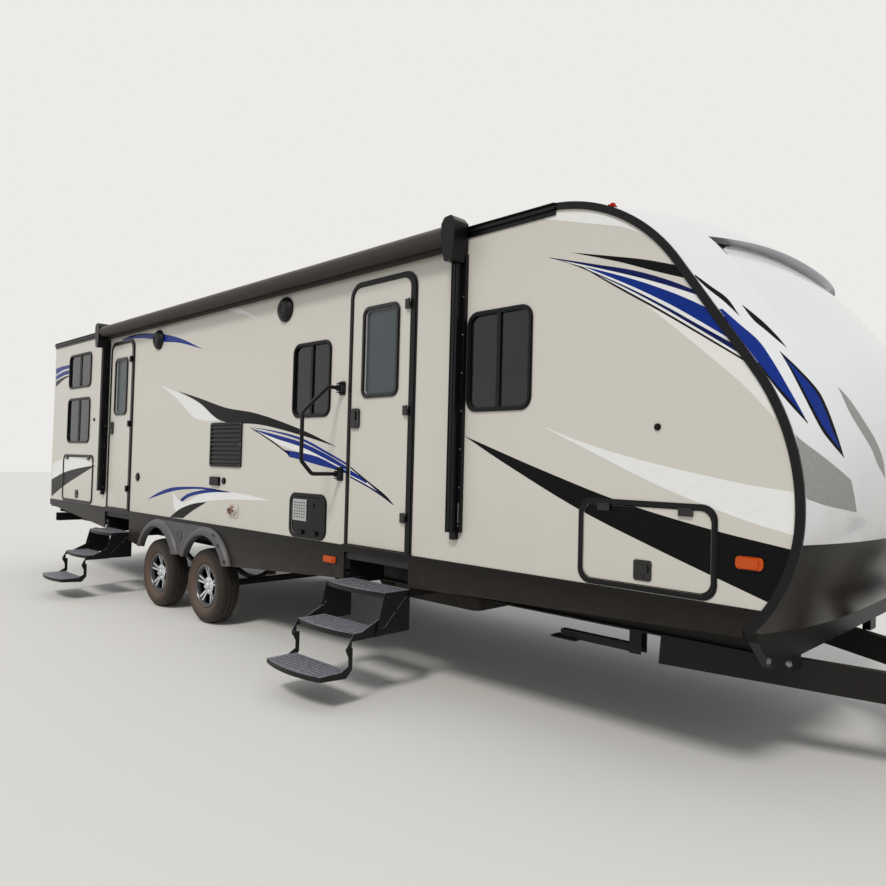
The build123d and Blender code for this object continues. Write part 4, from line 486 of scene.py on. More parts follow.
def floor_board():
    """Coated floor board: brown wood print inside, black bitumen on its edges and underside."""
    material, tree, surface = finish("floor_board", "#131212", 0.6)
    place = add_node(tree, "ShaderNodeTexCoord")
    grain = add_node(
        tree,
        "ShaderNodeTexWave",
        {"Scale": 1 / (28 * MM) / 6.283, "Distortion": 6.0, "Detail": 3.0, "bands_direction": "Y"},
        {"Vector": place.outputs["Object"]},
    )
    wood = add_node(
        tree,
        "ShaderNodeMixRGB",
        {"Color1": (*linear("#6A5038"), 1), "Color2": (*linear("#8A6C4C"), 1)},
        {"Fac": grain.outputs["Fac"]},
    )
    inside = add_node(
        tree,
        "ShaderNodeMixRGB",
        {"Color1": (*linear("#131212"), 1)},
        {"Fac": past(tree, "Z", FLOOR_TOP_Z), "Color2": wood.outputs["Color"]},
    )
    tree.links.new(inside.outputs["Color"], surface.inputs["Base Color"])
    return material


def heater_door():
    """Steel heater door: black enamel, with its intake grille left in bright zinc."""
    material, tree, surface = finish("heater_door", "#08080A", 0.36, Specular_IOR_Level=0.25)
    grained(tree, surface, 3, 0.06)
    axes = coordinates(tree)[1]
    inside = []
    for axis, start, low, high in (
        ("X", REAR_X, HEATER_GRILLE.x0, HEATER_GRILLE.x1),
        ("Z", 0, HEATER_GRILLE.z0, HEATER_GRILLE.z1),
    ):
        limits = {"operation": "COMPARE", 1: start + (low + high) / 2 * MM, 2: (high - low) / 2 * MM}
        inside.append(add_node(tree, "ShaderNodeMath", limits, {0: axes.outputs[axis]}).outputs["Value"])
    grille = add_node(tree, "ShaderNodeMath", {"operation": "MULTIPLY"}, {0: inside[0], 1: inside[1]})
    blend(tree, surface, grille.outputs["Value"], "#A3A4A3")
    return material


def cast_vinyl(name, colour, dark):
    """Cut vinyl film: smooth and glossy, its linear colour printed with a slanting fade to a darker tone."""
    material, tree, surface = finish(name, dark, 0.25, Specular_IOR_Level=0.1)
    surface.inputs["Base Color"].default_value = (*colour, 1)
    place = add_node(tree, "ShaderNodeTexCoord")
    # the print's lines are 1 mm apart; drawn 14 mm apart so that they show
    slant = add_node(
        tree,
        "ShaderNodeMapping",
        {"Rotation": (0, math.radians(32), 0), "Scale": (0.25, 1, 1)},
        {"Vector": place.outputs["Object"]},
    )
    lines = add_node(
        tree,
        "ShaderNodeTexNoise",
        {"Scale": 1 / (14 * MM), "Detail": 3.0},
        {"Vector": slant.outputs["Vector"]},
    )
    faded = add_node(
        tree,
        "ShaderNodeMapRange",
        {"From Min": 0.45, "From Max": 0.7, "To Min": 0.0, "To Max": 0.35},
        {"Value": lines.outputs["Fac"]},
    )
    blend(tree, surface, faded.outputs["Result"], dark)
    return material


def layered(name, colour, roughness, values, layers):
    """A finish from one surface and the layers laid over it in turn."""
    material, tree, surface = finish(name, colour, roughness, **values)
    for lay, *sizes in layers:
        lay(tree, surface, *sizes)
    return material


# Name, colour, roughness, other surface values, and each layer with its sizes
LAYERED_FINISHES = (
    # Moulded shell: glossy white gelcoat, which mirrors the sky softly; a little grey road film low down.
    ("white_gelcoat", "#D5D6D8", 0.2, {"Coat_Weight": 0.4, "Coat_Roughness": 0.05}, (
        (grained, 600, 1.2),
        (soil_and_reflection, "#A0968A", 1.75, 1.15, 180, 0.45))),
    # Moulded nose: black gelcoat, semi-gloss, browner in patches towards the bottom as a painted reflection
    # of the tan ground.
    ("black_gelcoat", "#0E0A07", 0.3, {"Specular_IOR_Level": 0.22}, (
        (grained, 300, 0.8),
        (soil_and_reflection, "#4A3B2C", 1.25, 0.75, 90, 0.35))),
    # TPO roofing sheet: white, matt, rolled out over board, with grey run-off marks.
    ("roof_membrane", "#D6D5CF", 0.7, {}, (
        (grained, 60, 0.8),
        (soil_and_reflection, "#8D887E", 2.9, 3.02, 220, 0.45))),
    # Extruded aluminium with a black powder coat: satin, finely pebbled, dust in its ledges.
    ("black_aluminium", "#08080A", 0.34, {"Specular_IOR_Level": 0.25}, (
        (grained, 3, 0.06),
        (dust_and_highlight_on_top, "#6E675F", 30, 0.5))),
    # Pre-painted steel skirt: dark brown-black, semi-gloss, brown with road dust along its lower edge.
    ("painted_steel_skirt", "#120E0B", 0.36, {"Specular_IOR_Level": 0.2}, (
        (grained, 350, 1.0),
        (soil_and_reflection, "#4F443A", 0.86, 0.56, 70, 0.5))),
    # Vacuum-formed ABS: charcoal, grained, greyed by sun and dusty on top.
    ("vacuum_formed_abs", "#46474B", 0.44, {"Specular_IOR_Level": 0.35}, (
        (grained, 2.5, 0.12),
        (dust_and_highlight_on_top, "#8E8C88", 45, 0.55),
        (soil_and_reflection, "#6A5E51", 0.8, 0.54, 50, 0.4))),
    # Chassis enamel brushed on rolled steel: black, uneven, with dust and specks of rust.
    ("chassis_enamel", "#0A0A0A", 0.46, {"Specular_IOR_Level": 0.25}, (
        (grained, 12, 0.3),
        (soil_and_reflection, "#3D3028", 0.75, 0.3, 14, 0.2),
        (dust_and_highlight_on_top, "#6F665B", 40, 0.4))),
    # Powder-coated steel steps: black, pale blue-grey on the faces that look up: partly scuffs and dust,
    # partly a painted highlight of the sky.
    ("step_paint", "#0A0A0B", 0.45, {"Specular_IOR_Level": 0.3}, (
        (grained, 4, 0.15),
        (dust_and_highlight_on_top, "#A9AAB4", 22, 1.0))),
    # Zinc-plated steel tube: dull silver with cloudy spangle.
    ("zinc_plate", "#8D8F92", 0.42, {"Metallic": 1.0}, (
        (grained, 9, 0.05),
        (soil_and_reflection, "#5C5347", 0.5, 0.1, 20, 0.5))),
    # Tempered glass, heavily tinted: near black, mirrors what faces it.
    ("tinted_glass", "#454A4D", 0.03, {"IOR": 1.5, "Transmission_Weight": 0.9, "Specular_IOR_Level": 0.15}, (
        (grained, 700, 0.9),)),
    # Pressed obscure glass of the doors: blue-grey, fine pebbles that scatter what is behind.
    ("obscured_glass", "#3C4549", 0.28, {"IOR": 1.5, "Transmission_Weight": 0.1}, (
        (grained, 4, 0.5),)),
    # Moulded ABS shrouds: white, slightly chalky from the sun, rain dirt on top.
    ("white_abs", "#D8D7D2", 0.42, {}, (
        (grained, 2, 0.06),
        (dust_and_highlight_on_top, "#8F8B82", 60, 0.5))),
    # Corrugated polypropylene under the floor: black, ribbed, dusty.
    ("belly_sheet", "#0C0C0D", 0.6, {"Specular_IOR_Level": 0.25}, (
        (grained, 20, 0.6),
        (soil_and_reflection, "#51483D", 0.8, 0.4, 60, 0.5))),
    # Painted aluminium slats: olive grey, satin.
    ("blind_slat_paint", "#8F8A76", 0.4, {}, (
        (grained, 40, 0.3),)),
)

FINISHES = {
    "side_fibreglass": fibreglass("side_fibreglass"),
    "door_fibreglass": fibreglass_with_black_fittings("door_fibreglass", DOOR_FACE_Y + 0.0005),
    "lid_fibreglass": fibreglass_with_black_fittings("lid_fibreglass", WALL_Y + 0.0005),
}
for make in (
    fitting_plastic,
    machined_alloy,
    tread_rubber,
    awning_vinyl,
    acrylic_lens,
    floor_board,
    heater_door,
):
    FINISHES[make.__name__] = make()
for row in LAYERED_FINISHES:
    FINISHES[row[0]] = layered(*row)

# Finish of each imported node
NODE_FINISH = {
    "floor": "floor_board",
    "side_wall_right": "side_fibreglass",
    "side_wall_left": "side_fibreglass",
    "rear_wall": "side_fibreglass",
    "roof": "roof_membrane",
    "front_cap": "white_gelcoat",
    "nose_panel": "black_gelcoat",
    "edge_trims": "black_aluminium",
    "skirts": "painted_steel_skirt",
    "fenders": "vacuum_formed_abs",
    "underbelly": "belly_sheet",
    "jack_leg": "zinc_plate",
    "gas_bottles": "white_abs",
    "battery_box": "vacuum_formed_abs",
    "door_frames": "black_aluminium",
    "window_frames": "black_aluminium",
    "hatch_frames": "black_aluminium",
    "window_glass": "tinted_glass",
    "awning_roller": "awning_vinyl",
    "awning_arms": "black_aluminium",
    "wall_fittings": "fitting_plastic",
    "lamps": "acrylic_lens",
    "air_conditioner": "white_abs",
    "vent_hood": "white_abs",
    "vent_lid": "white_abs",
    "main_door": "door_fibreglass",
    "rear_door": "door_fibreglass",
    "main_door_glass": "obscured_glass",
    "rear_door_glass": "obscured_glass",
    "rear_storage_lid": "lid_fibreglass",
    "front_storage_lid_right": "lid_fibreglass",
    "front_storage_lid_left": "lid_fibreglass",
    "heater_lid": "heater_door",
    "grab_handle": "black_aluminium",
}

# Finish of nodes whose names start alike
GROUP_FINISH = {
    "tyre_": "tread_rubber",
    "wheel_": "machined_alloy",
    "main_step_": "step_paint",
    "rear_step_": "step_paint",
}


def node_finish(name):
    """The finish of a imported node; steel that has none of its own is enamelled."""
    for start, group in GROUP_FINISH.items():
        if name.startswith(start):
            return group
    return NODE_FINISH.get(name, "chassis_enamel")


def smooth_line(points, count):
    """Places at equal steps along a smooth curve through the points."""
    points = [Vector((*point, 0)) for point in points]
    fine = [points[0]]
    for i in range(len(points) - 1):
        start, end = points[i], points[i + 1]
        leaving = (end - points[max(i - 1, 0)]).normalized()
        arriving = (points[min(i + 2, len(points) - 1)] - start).normalized()
        reach = (end - start).length / 3
        fine += interpolate_bezier(start, start + leaving * reach, end - arriving * reach, end, 13)[1:]
    lengths = [0.0]
    for i in range(1, len(fine)):
        lengths.append(lengths[-1] + (fine[i] - fine[i - 1]).length)
    places = []
    i = 1
    for step in range(count + 1):
        target = lengths[-1] * step / count
        while i < len(fine) - 1 and lengths[i] < target:
            i += 1
        share = (target - lengths[i - 1]) / (lengths[i] - lengths[i - 1])
        places.append(fine[i - 1].lerp(fine[i], share))
    return places


def stripe_grid(stripe, steps, rows):
    """A stripe's flat sheet in its own plane, station across and height up, in mm."""
    upper = smooth_line(stripe.upper, steps)
    lower = smooth_line(stripe.lower, steps)
    bm = bmesh.new()
    bmesh.ops.create_grid(bm, x_segments=steps, y_segments=rows, size=1)
    for vert in bm.verts:
        step = round((vert.co.x + 1) / 2 * steps)
        vert.co = lower[step].lerp(upper[step], (vert.co.y + 1) / 2)
    bmesh.ops.remove_doubles(bm, verts=bm.verts[:], dist=0.4)
    return bm


def outline_planes(opening, margin):
    """The sides and cut corners of an opening, each a point and a direction out of it."""
    x0, x1 = opening.x0 - margin, opening.x1 + margin
    z0, z1 = opening.z0 - margin, opening.z1 + margin
    cut = (opening.corner + margin) * CORNER_CUT
    planes = [
        (Vector((x0, z0, 0)), Vector((-1, 0, 0))),
        (Vector((x0, z0, 0)), Vector((0, -1, 0))),
        (Vector((x1, z1, 0)), Vector((1, 0, 0))),
        (Vector((x1, z1, 0)), Vector((0, 1, 0))),
    ]
    for x, side in ((x0, -1), (x1, 1)):
        for z, rise in ((z0, -1), (z1, 1)):
            corner = Vector((x - side * cut, z - rise * cut, 0))
            planes.append((corner, Vector((side, rise, 0)).normalized()))
    return planes


def cut_away(bm, opening, margin):
    """Takes away the part of a flat sheet that lies over an opening."""
    planes = outline_planes(opening, margin)
    for point, outward in planes:
        everything = bm.verts[:] + bm.edges[:] + bm.faces[:]
        bmesh.ops.bisect_plane(bm, geom=everything, dist=0.01, plane_co=point, plane_no=outward)
    inside = []
    for face in bm.faces:
        middle = face.calc_center_median()
        if all((middle - point).dot(outward) < 0 for point, outward in planes):
            inside.append(face)
    bmesh.ops.delete(bm, geom=inside, context="FACES")


def keep_within(bm, opening, margin):
    """Keeps only the part of a flat sheet that lies over an opening."""
    for point, outward in outline_planes(opening, margin):
        everything = bm.verts[:] + bm.edges[:] + bm.faces[:]
        bmesh.ops.bisect_plane(
            bm, geom=everything, dist=0.01, plane_co=point, plane_no=outward, clear_outer=True
        )


def thicken(bm, moves):
    """Gives an open sheet its thickness: each new vertex moves by the entry for the one below it."""
    grown = bmesh.ops.extrude_face_region(bm, geom=bm.faces[:])
    for item in grown["geom"]:
        if isinstance(item, bmesh.types.BMVert):
            item.co += moves(item.co)
    bmesh.ops.recalc_face_normals(bm, faces=bm.faces[:])


def add_to(piece_bm, bm, material_index):
    """Adds a mesh to a piece's mesh, its faces in one finish."""
    for face in bm.faces:
        face.material_index = material_index
    scrap = bpy.data.meshes.new("scrap")
    bm.to_mesh(scrap)
    bm.free()
    piece_bm.from_mesh(scrap)
    bpy.data.meshes.remove(scrap)


def new_piece(name, bm, materials, body):
    """Makes a mesh a piece of the caravan, riding on a body."""
    mesh = bpy.data.meshes.new(name)
    bm.to_mesh(mesh)
    bm.free()
    for material in materials:
        mesh.materials.append(material)
    piece = bpy.data.objects.new(name, mesh)
    bpy.context.scene.collection.objects.link(piece)
    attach(piece, body)
    return piece


def turned(bm, profile, centre, axis, steps):
    """A solid turned about an axis, from a profile of (radius, height) pairs in mm."""
    across = axis.orthogonal().normalized()
    verts = [bm.verts.new(centre + across * radius * MM + axis * height * MM) for radius, height in profile]
    edges = [bm.edges.new(pair) for pair in zip(verts, verts[1:])]
    bmesh.ops.spin(
        bm,
        geom=verts + edges,
        cent=centre,
        axis=axis,
        angle=2 * math.pi,
        steps=steps,
        use_merge=True,
        use_duplicate=False,
    )
    bmesh.ops.remove_doubles(bm, verts=bm.verts[:], dist=0.00002)
    bmesh.ops.recalc_face_normals(bm, faces=bm.faces[:])


def rounded_block(bm, centre, size, turn, radius):
    """A block with rounded edges; sizes in mm, the turn about Y in radians."""
    block = bmesh.ops.create_cube(bm, size=1)["verts"]
    bmesh.ops.scale(bm, verts=block, vec=Vector(size) * MM)
    edges = list({edge for vert in block for edge in vert.link_edges})
    rounded = bmesh.ops.bevel(
        bm,
        geom=edges,
        affect="EDGES",
        offset=radius * MM,
        segments=2,
        profile=0.5,
        material=-1,
    )
    verts = list({vert for face in rounded["faces"] for vert in face.verts})
    place = Matrix.Translation(centre) @ Matrix.Rotation(turn, 4, "Y")
    bmesh.ops.transform(bm, matrix=place, verts=verts)


class CaravanGraphicsSettings(bpy.types.PropertyGroup):
    """Colours and thickness of the cut vinyl."""

    blue: FloatVectorProperty(
        name="Blue", description="Bright blue film", default=linear("#0E2B7C"), subtype="COLOR", min=0, max=1
    )
    navy: FloatVectorProperty(
        name="Navy", description="Deep blue film", default=linear("#0D174E"), subtype="COLOR", min=0, max=1
    )
    black: FloatVectorProperty(
        name="Black", description="Black film", default=linear("#09090A"), subtype="COLOR", min=0, max=1
    )
    white: FloatVectorProperty(
        name="White", description="White film", default=linear("#DCDCDA"), subtype="COLOR", min=0, max=1
    )
    grey: FloatVectorProperty(
        name="Grey", description="Grey film", default=linear("#8F8E8B"), subtype="COLOR", min=0, max=1
    )
    film: FloatProperty(
        name="Film", description="Thickness of one layer of film", default=0.00025, min=0.0001, unit="LENGTH"
    )
    steps: IntProperty(name="Steps", description="Divisions along a stripe", default=48, min=8, max=200)


class CaravanFittingsSettings(bpy.types.PropertyGroup):
    """Sizes of the small fittings."""

    screw_width: FloatProperty(
        name="Screw head", description="Width of a pan head", default=0.010, min=0.004, unit="LENGTH"
    )
    screw_pitch: FloatProperty(
        name="Screw pitch", description="From screw to screw up an arm", default=0.23, min=0.05, unit="LENGTH"
    )
    slat_pitch: FloatProperty(
        name="Slat pitch", description="From slat to slat in a blind", default=0.020, min=0.01, unit="LENGTH"
    )
    slat_tilt: FloatProperty(
        name="Slat tilt", description="Turn of a slat from level", default=math.radians(38), subtype="ANGLE"
    )


class CaravanStageSettings(bpy.types.PropertyGroup):
    """Where the viewer stands and how the stage is lit."""

    viewer: FloatVectorProperty(
        name="Viewer",
        description="Eye point",
        default=(0.355, -4.414, 1.496),
        subtype="TRANSLATION",
        unit="LENGTH",
    )
    heading: FloatProperty(
        name="Heading", description="Turn from +Y towards -X", default=math.radians(44.36), subtype="ANGLE"
    )
    pitch: FloatProperty(
        name="Pitch", description="Tilt above level", default=math.radians(1.56), subtype="ANGLE"
    )
    roll: FloatProperty(
        name="Roll", description="Turn about the view", default=math.radians(1.47), subtype="ANGLE"
    )
    lens: FloatProperty(name="Lens", description="Focal length on a 36 mm frame", default=29.30, min=10)
    sun: FloatProperty(name="Sun", description="Key light strength", default=1.75, min=0)
    sky: FloatProperty(name="Sky", description="World strength", default=0.68, min=0)


class CARAVAN_OT_finishes(bpy.types.Operator):
    """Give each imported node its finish."""

    bl_idname = "caravan.finishes"
    bl_label = "Finishes"

    def execute(self, context):
        for name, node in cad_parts.items():
            node.data.materials.clear()
            node.data.materials.append(FINISHES[node_finish(name)])
        return {"FINISHED"}


def vinyl_films(settings):
    """The films in the order of their names, each a cast vinyl of a setting's colour."""
    # name, linear colour and the darker tone of its print
    shades = (
        ("blue", settings.blue, "#0B1A55"),
        ("navy", settings.navy, "#0E163F"),
        ("black", settings.black, "#141312"),
        ("white", settings.white, "#D2D1CE"),
        ("grey", settings.grey, "#7B7A78"),
        ("pale", linear("#DBD9D4"), "#D2D0CA"),
    )
    names = [name for name, _, _ in shades]
    films = [cast_vinyl(f"{name}_vinyl", colour, dark) for name, colour, dark in shades]
    return names, films


class CARAVAN_OT_side_stripes(bpy.types.Operator):
    """Lay the vinyl stripes on both side walls and on the storage lids that they cross."""

    bl_idname = "caravan.side_stripes"
    bl_label = "Side stripes"

    def execute(self, context):
        settings = context.scene.caravan_graphics
        names, films = vinyl_films(settings)
        shared_windows = (UPPER_BUNK_WINDOW, LOWER_BUNK_WINDOW, FRONT_WINDOW)
        right_openings = (*shared_windows, KITCHEN_WINDOW, MAIN_DOORWAY)
        left_openings = (*shared_windows, SALON_WINDOW)
        walls = (SIDE_STRIPES, WALL_Y)
        left_wall = (SIDE_STRIPES + DOOR_STRIPES, WALL_Y)
        door = (DOOR_STRIPES, DOOR_FACE_Y)
        # piece, body, side, stripes and the face they lie on, lid, window openings and lids cut out
        sheets = (
            ("stripes_right", "caravan", -1, walls, None, right_openings, (REAR_HATCH, FRONT_HATCH)),
            ("stripes_left", "caravan", 1, left_wall, None, left_openings, (FRONT_HATCH,)),
            ("stripes_main_door", "main_door", -1, door, None, (), ()),
            ("stripes_rear_storage_lid", "rear_storage_lid", -1, walls, REAR_HATCH, (), ()),
            ("stripes_front_storage_lid_right", "front_storage_lid_right", -1, walls, FRONT_HATCH, (), ()),
            ("stripes_front_storage_lid_left", "front_storage_lid_left", 1, walls, FRONT_HATCH, (), ()),
        )
        for name, body, side, (stripes, face_y), lid, windows, hatches in sheets:
            whole = bmesh.new()
            for stripe in stripes:
                bm = stripe_grid(stripe, settings.steps, 1)
                for opening in windows:
                    cut_away(bm, opening, -8)
                for hatch in hatches:
                    cut_away(bm, hatch, 4)
                if lid:
                    keep_within(bm, lid, -5.5)
                for vert in bm.verts:
                    vert.co = Vector((REAR_X + vert.co.x * MM, side * (face_y - 0.00005), vert.co.y * MM))
                lift = Vector((0, side * (0.0001 + stripe.layer * settings.film), 0))
                if bm.faces:
                    thicken(bm, lambda co: lift)
                add_to(whole, bm, names.index(stripe.colour))
            new_piece(name, whole, films, body)
        return {"FINISHED"}


class CARAVAN_OT_shell_stripes(bpy.types.Operator):
    """Lay the vinyl on the front shell, pressed onto its curve."""

    bl_idname = "caravan.shell_stripes"
    bl_label = "Shell stripes"

    def execute(self, context):
        settings = context.scene.caravan_graphics
        films = {name: bpy.data.materials[f"{name}_vinyl"] for name in ("blue", "black", "grey")}
        shell = bmesh.new()
        shell.from_mesh(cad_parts["front_cap"].data)
        skin = BVHTree.FromBMesh(shell)
        shell.free()
        whole = bmesh.new()
        for side in (-1, 1):
            inward = Vector((-1, -side, 0)).normalized()
            for stripe in SHELL_STRIPES:
                bm = stripe_grid(stripe, settings.steps, 8)
                for vert in bm.verts:
                    half = vert.co.x * MM / math.sqrt(2)
                    start = Vector((REAR_X + half + 8, side * (8 - half), vert.co.y * MM))
                    place, normal, _, _ = skin.ray_cast(start, inward)
                    if place is None:
                        raise RuntimeError("a stripe misses the front shell")
                    vert.co = place - normal * 0.0003
                bm.normal_update()
                outward = -inward

                def lift(co):
                    place, normal, _, _ = skin.find_nearest(co)
                    turned_out = normal if normal.dot(outward) > 0 else -normal
                    return turned_out * (0.0008 + stripe.layer * settings.film)

                thicken(bm, lift)
                add_to(whole, bm, list(films).index(stripe.colour))
        new_piece("stripes_shell", whole, list(films.values()), "caravan")
        return {"FINISHED"}


class CARAVAN_OT_window_blind(bpy.types.Operator):
    """Hang the half-raised slatted blind inside the front side window."""

    bl_idname = "caravan.window_blind"
    bl_label = "Window blind"

    def execute(self, context):
        settings = context.scene.caravan_fittings
        bm = bmesh.new()
        x0 = REAR_X + (FRONT_WINDOW.x0 + 8) * MM
        x1 = REAR_X + (FRONT_WINDOW.x1 - 8) * MM
        bottom, top = BLIND_Z
        z = bottom
        while z < top:
            made = bmesh.ops.create_grid(bm, x_segments=1, y_segments=4, size=1)["verts"]
            for vert in made:
                crown = (1 - vert.co.y**2) * 0.0012
                vert.co = Vector((x0 + (vert.co.x + 1) / 2 * (x1 - x0), vert.co.y * 0.0085, crown))
            turn = Matrix.Rotation(settings.slat_tilt, 4, "X")
            bmesh.ops.transform(bm, matrix=Matrix.Translation((0, BLIND_Y, z)) @ turn, verts=made)
            z += settings.slat_pitch
        bmesh.ops.solidify(bm, geom=bm.faces[:], thickness=0.0004)
        for x in (x0 + 0.09, (x0 + x1) / 2, x1 - 0.09):
            rounded_block(bm, Vector((x, BLIND_Y - 0.0095, (bottom + top) / 2)), (2, 1, 212), 0, 0.3)
        rounded_block(bm, Vector(((x0 + x1) / 2, BLIND_Y, bottom - 0.012)), ((x1 - x0) / MM, 14, 9), 0, 3)
        bmesh.ops.recalc_face_normals(bm, faces=bm.faces[:])
        new_piece("front_window_blind", bm, [FINISHES["blind_slat_paint"]], "caravan")
        return {"FINISHED"}


class CARAVAN_OT_screws(bpy.types.Operator):
    """Drive the pan-head screws of the awning arms and the fridge vent."""

    bl_idname = "caravan.screws"
    bl_label = "Screws"

    def execute(self, context):
        settings = context.scene.caravan_fittings
        radius = settings.screw_width / 2 / MM
        head = (
            (0, 0.9),
            (radius * 0.35, 1.1),
            (radius * 0.6, 2.6),
            (radius * 0.85, 2.2),
            (radius, 1.0),
            (radius, -0.5),
            (0, -0.5),
        )
        places = []
        for station in ARM_STATIONS:
            z = 1.12
            while z < 2.72:
                places.append(Vector((REAR_X + (station + 30) * MM, -1.248, z)))
                z += settings.screw_pitch
        for x in (FRIDGE_VENT.x0 + 12, FRIDGE_VENT.x1 - 12):
            for z in (FRIDGE_VENT.z0 + 12, (FRIDGE_VENT.z0 + FRIDGE_VENT.z1) / 2, FRIDGE_VENT.z1 - 12):
                places.append(Vector((REAR_X + x * MM, -1.234, z * MM)))
        bm = bmesh.new()
        for place in places:
            turned(bm, head, place, Vector((0, -1, 0)), 10)
        new_piece("screws", bm, [FINISHES["zinc_plate"]], "caravan")
        return {"FINISHED"}


class CARAVAN_OT_fender_clips(bpy.types.Operator):
    """Press the dark clips into the front flare of the wheel arch."""

    bl_idname = "caravan.fender_clips"
    bl_label = "Fender clips"

    def execute(self, context):
        bm = bmesh.new()
        for side in (-1, 1):
            for station, height, lean in FENDER_CLIPS:
                place = Vector((REAR_X + station * MM, side * CLIP_Y, height * MM))
                rounded_block(bm, place, (30, 8, 13), math.radians(90 - lean), 2.5)
        bmesh.ops.recalc_face_normals(bm, faces=bm.faces[:])
        new_piece("fender_clips", bm, [FINISHES["black_aluminium"]], "caravan")
        return {"FINISHED"}


class CARAVAN_OT_clearance_lamps(bpy.types.Operator):
    """Set the red clearance lamps on the shell's upper corners."""

    bl_idname = "caravan.clearance_lamps"
    bl_label = "Clearance lamps"

    def execute(self, context):
        bm = bmesh.new()
        for side in (-1, 1):
            lens = bmesh.ops.create_uvsphere(bm, u_segments=20, v_segments=10, radius=1)["verts"]
            bmesh.ops.scale(bm, verts=lens, vec=Vector((17, 11, 10)) * MM)
            mirror = Vector((1, side, 1))
            place = Matrix.Translation(Vector(LAMP_LENS) * mirror) @ Matrix.Rotation(ROOF_SLOPE, 4, "Y")
            bmesh.ops.transform(bm, matrix=place, verts=lens)
            rounded_block(bm, Vector(LAMP_BASE) * mirror, (44, 27, 7), ROOF_SLOPE, 2.5)
        lens_red = cast_vinyl("red_lens", linear("#A81D10"), "#7E120B")
        new_piece("clearance_lamps", bm, [lens_red], "caravan")
        return {"FINISHED"}


class CARAVAN_OT_arm_pin(bpy.types.Operator):
    """Hang the pale travel pin and its clip on the front awning arm."""

    bl_idname = "caravan.arm_pin"
    bl_label = "Awning arm pin"

    def execute(self, context):
        bm = bmesh.new()
        rod = ((0, 0), (2.2, 0.6), (2.6, 2), (2.6, 118), (2.2, 119.4), (0, 120))
        turned(bm, rod, Vector((PIN_X, -1.2505, PIN_FOOT_Z)), Vector((0, 0, 1)), 10)
        for z in (1.245, 1.150):
            rounded_block(bm, Vector((PIN_X, -1.2495, z)), (12, 8, 9), 0, 1.5)
        bmesh.ops.recalc_face_normals(bm, faces=bm.faces[:])
        new_piece("awning_arm_pin", bm, [FINISHES["zinc_plate"]], "caravan")
        return {"FINISHED"}


class CARAVAN_OT_tongue_bolts(bpy.types.Operator):
    """Bolt the header to the tongue's rails."""

    bl_idname = "caravan.tongue_bolts"
    bl_label = "Tongue bolts"

    def execute(self, context):
        head = ((0, 11), (9, 11), (12, 9.5), (12, 2.5), (17, 2.4), (17, -1), (0, -1))
        bm = bmesh.new()
        for side in (-1, 1):
            mirror = Vector((1, side, 1))
            turned(bm, head, Vector(HEADER_BOLT) * mirror, Vector((1, 0, 0)), 6)
            turned(bm, head, Vector(RAIL_BOLT) * mirror, Vector((0, side, 0)), 6)
        new_piece("tongue_bolts", bm, [FINISHES["zinc_plate"]], "caravan")
        return {"FINISHED"}


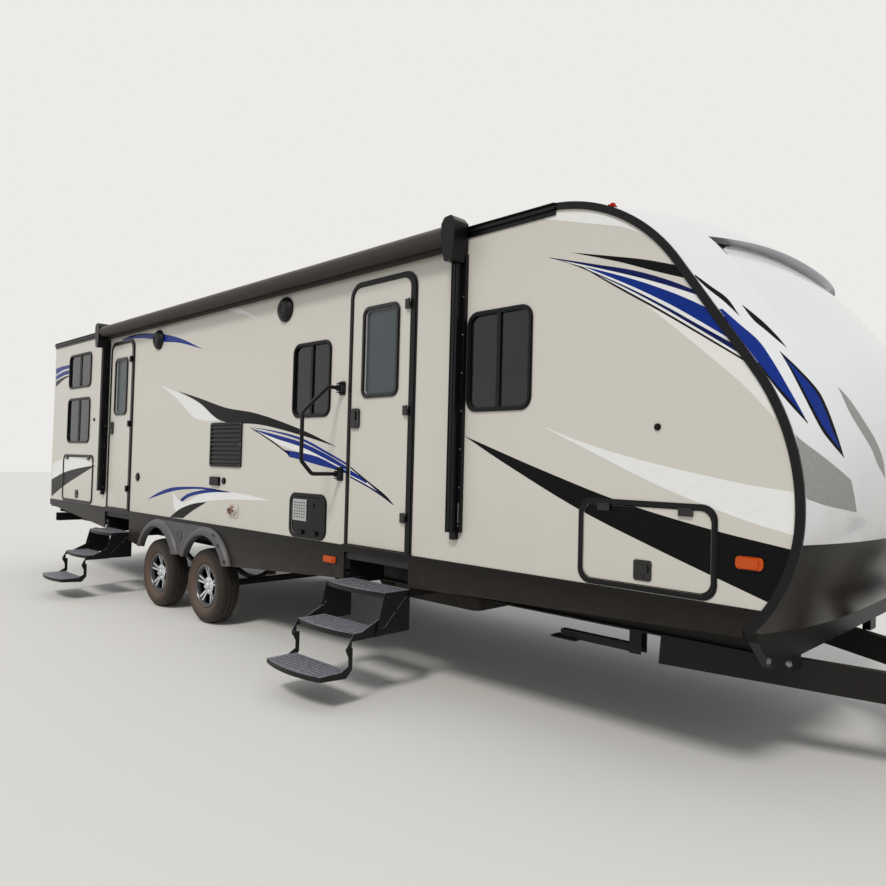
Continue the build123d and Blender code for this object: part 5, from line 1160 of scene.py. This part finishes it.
class CARAVAN_OT_stage(bpy.types.Operator):
    """Floor, light and camera."""

    bl_idname = "caravan.stage"
    bl_label = "Stage"

    def execute(self, context):
        settings = context.scene.caravan_stage
        bm = bmesh.new()
        bmesh.ops.create_grid(bm, x_segments=1, y_segments=1, size=60)
        floor_mesh = bpy.data.meshes.new("stage_floor")
        bm.to_mesh(floor_mesh)
        bm.free()
        floor = bpy.data.objects.new("stage_floor", floor_mesh)
        context.scene.collection.objects.link(floor)
        material, tree, surface = finish("stage_paper", "#D9D7D2", 0.9)
        grained(tree, surface, 8, 0.1)
        floor_mesh.materials.append(material)

        world = bpy.data.worlds.new("soft_sky")
        context.scene.world = world
        world.use_nodes = True
        tree = world.node_tree
        sky = tree.nodes["Background"]
        sky.inputs["Color"].default_value = (0.93, 0.96, 1.0, 1)
        sky.inputs["Strength"].default_value = settings.sky
        backdrop = add_node(
            tree, "ShaderNodeBackground", {"Color": (*linear("#ECEBE8"), 1), "Strength": 1.0}
        )
        path = add_node(tree, "ShaderNodeLightPath")
        seen = path.outputs["Is Camera Ray"]
        for ray in ("Is Glossy Ray", "Is Transmission Ray"):
            either = {"operation": "ADD", "use_clamp": True}
            seen = add_node(tree, "ShaderNodeMath", either, {0: seen, 1: path.outputs[ray]}).outputs["Value"]
        mix = add_node(
            tree, "ShaderNodeMixShader", links={0: seen, 1: sky.outputs[0], 2: backdrop.outputs[0]}
        )
        tree.links.new(mix.outputs[0], tree.nodes["World Output"].inputs["Surface"])

        sun_data = bpy.data.lights.new("key_sun", "SUN")
        sun_data.energy = settings.sun
        sun_data.angle = math.radians(12)
        sun_data.color = (1.0, 0.97, 0.92)
        sun = bpy.data.objects.new("key_sun", sun_data)
        sun.rotation_euler = Vector((0.35, -0.75, 0.9)).to_track_quat("Z", "Y").to_euler()
        context.scene.collection.objects.link(sun)

        camera_data = bpy.data.cameras.new("camera")
        camera_data.sensor_width = 36
        camera_data.lens = settings.lens
        camera_data.clip_end = 200
        camera = bpy.data.objects.new("camera", camera_data)
        camera.matrix_world = (
            Matrix.Translation(settings.viewer)
            @ Matrix.Rotation(settings.heading, 4, "Z")
            @ Matrix.Rotation(math.pi / 2 + settings.pitch, 4, "X")
            @ Matrix.Rotation(settings.roll, 4, "Z")
        )
        context.scene.collection.objects.link(camera)
        context.scene.camera = camera
        context.scene.view_settings.view_transform = "Standard"
        return {"FINISHED"}


OPERATORS = (
    CARAVAN_OT_stage,
    CARAVAN_OT_finishes,
    CARAVAN_OT_side_stripes,
    CARAVAN_OT_shell_stripes,
    CARAVAN_OT_window_blind,
    CARAVAN_OT_screws,
    CARAVAN_OT_fender_clips,
    CARAVAN_OT_clearance_lamps,
    CARAVAN_OT_arm_pin,
    CARAVAN_OT_tongue_bolts,
)


class CARAVAN_PT_pieces(bpy.types.Panel):
    """The caravan's pieces, with the sizes and colours that they use."""

    bl_idname = "CARAVAN_PT_pieces"
    bl_label = "Travel caravan"
    bl_space_type = "VIEW_3D"
    bl_region_type = "UI"
    bl_category = "Caravan"

    def draw(self, context):
        layout = self.layout
        for operator in OPERATORS:
            layout.operator(operator.bl_idname)
        for label, group in (
            ("Vinyl", context.scene.caravan_graphics),
            ("Fittings", context.scene.caravan_fittings),
            ("Stage", context.scene.caravan_stage),
        ):
            box = layout.box()
            box.label(text=label)
            for name in group.__annotations__:
                box.prop(group, name)


GROUPS = {
    "caravan_graphics": CaravanGraphicsSettings,
    "caravan_fittings": CaravanFittingsSettings,
    "caravan_stage": CaravanStageSettings,
}


def register():
    for cls in (*GROUPS.values(), *OPERATORS, CARAVAN_PT_pieces):
        bpy.utils.register_class(cls)
    for name, group in GROUPS.items():
        setattr(bpy.types.Scene, name, PointerProperty(type=group))


def unregister():
    for name in GROUPS:
        delattr(bpy.types.Scene, name)
    for cls in (CARAVAN_PT_pieces, *reversed(OPERATORS), *GROUPS.values()):
        bpy.utils.unregister_class(cls)


def main():
    register()
    bpy.ops.caravan.stage()
    bpy.ops.caravan.finishes()
    bpy.ops.caravan.side_stripes()
    bpy.ops.caravan.shell_stripes()
    bpy.ops.caravan.window_blind()
    bpy.ops.caravan.screws()
    bpy.ops.caravan.fender_clips()
    bpy.ops.caravan.clearance_lamps()
    bpy.ops.caravan.arm_pin()
    bpy.ops.caravan.tongue_bolts()


if __name__ == "__main__":
    main()
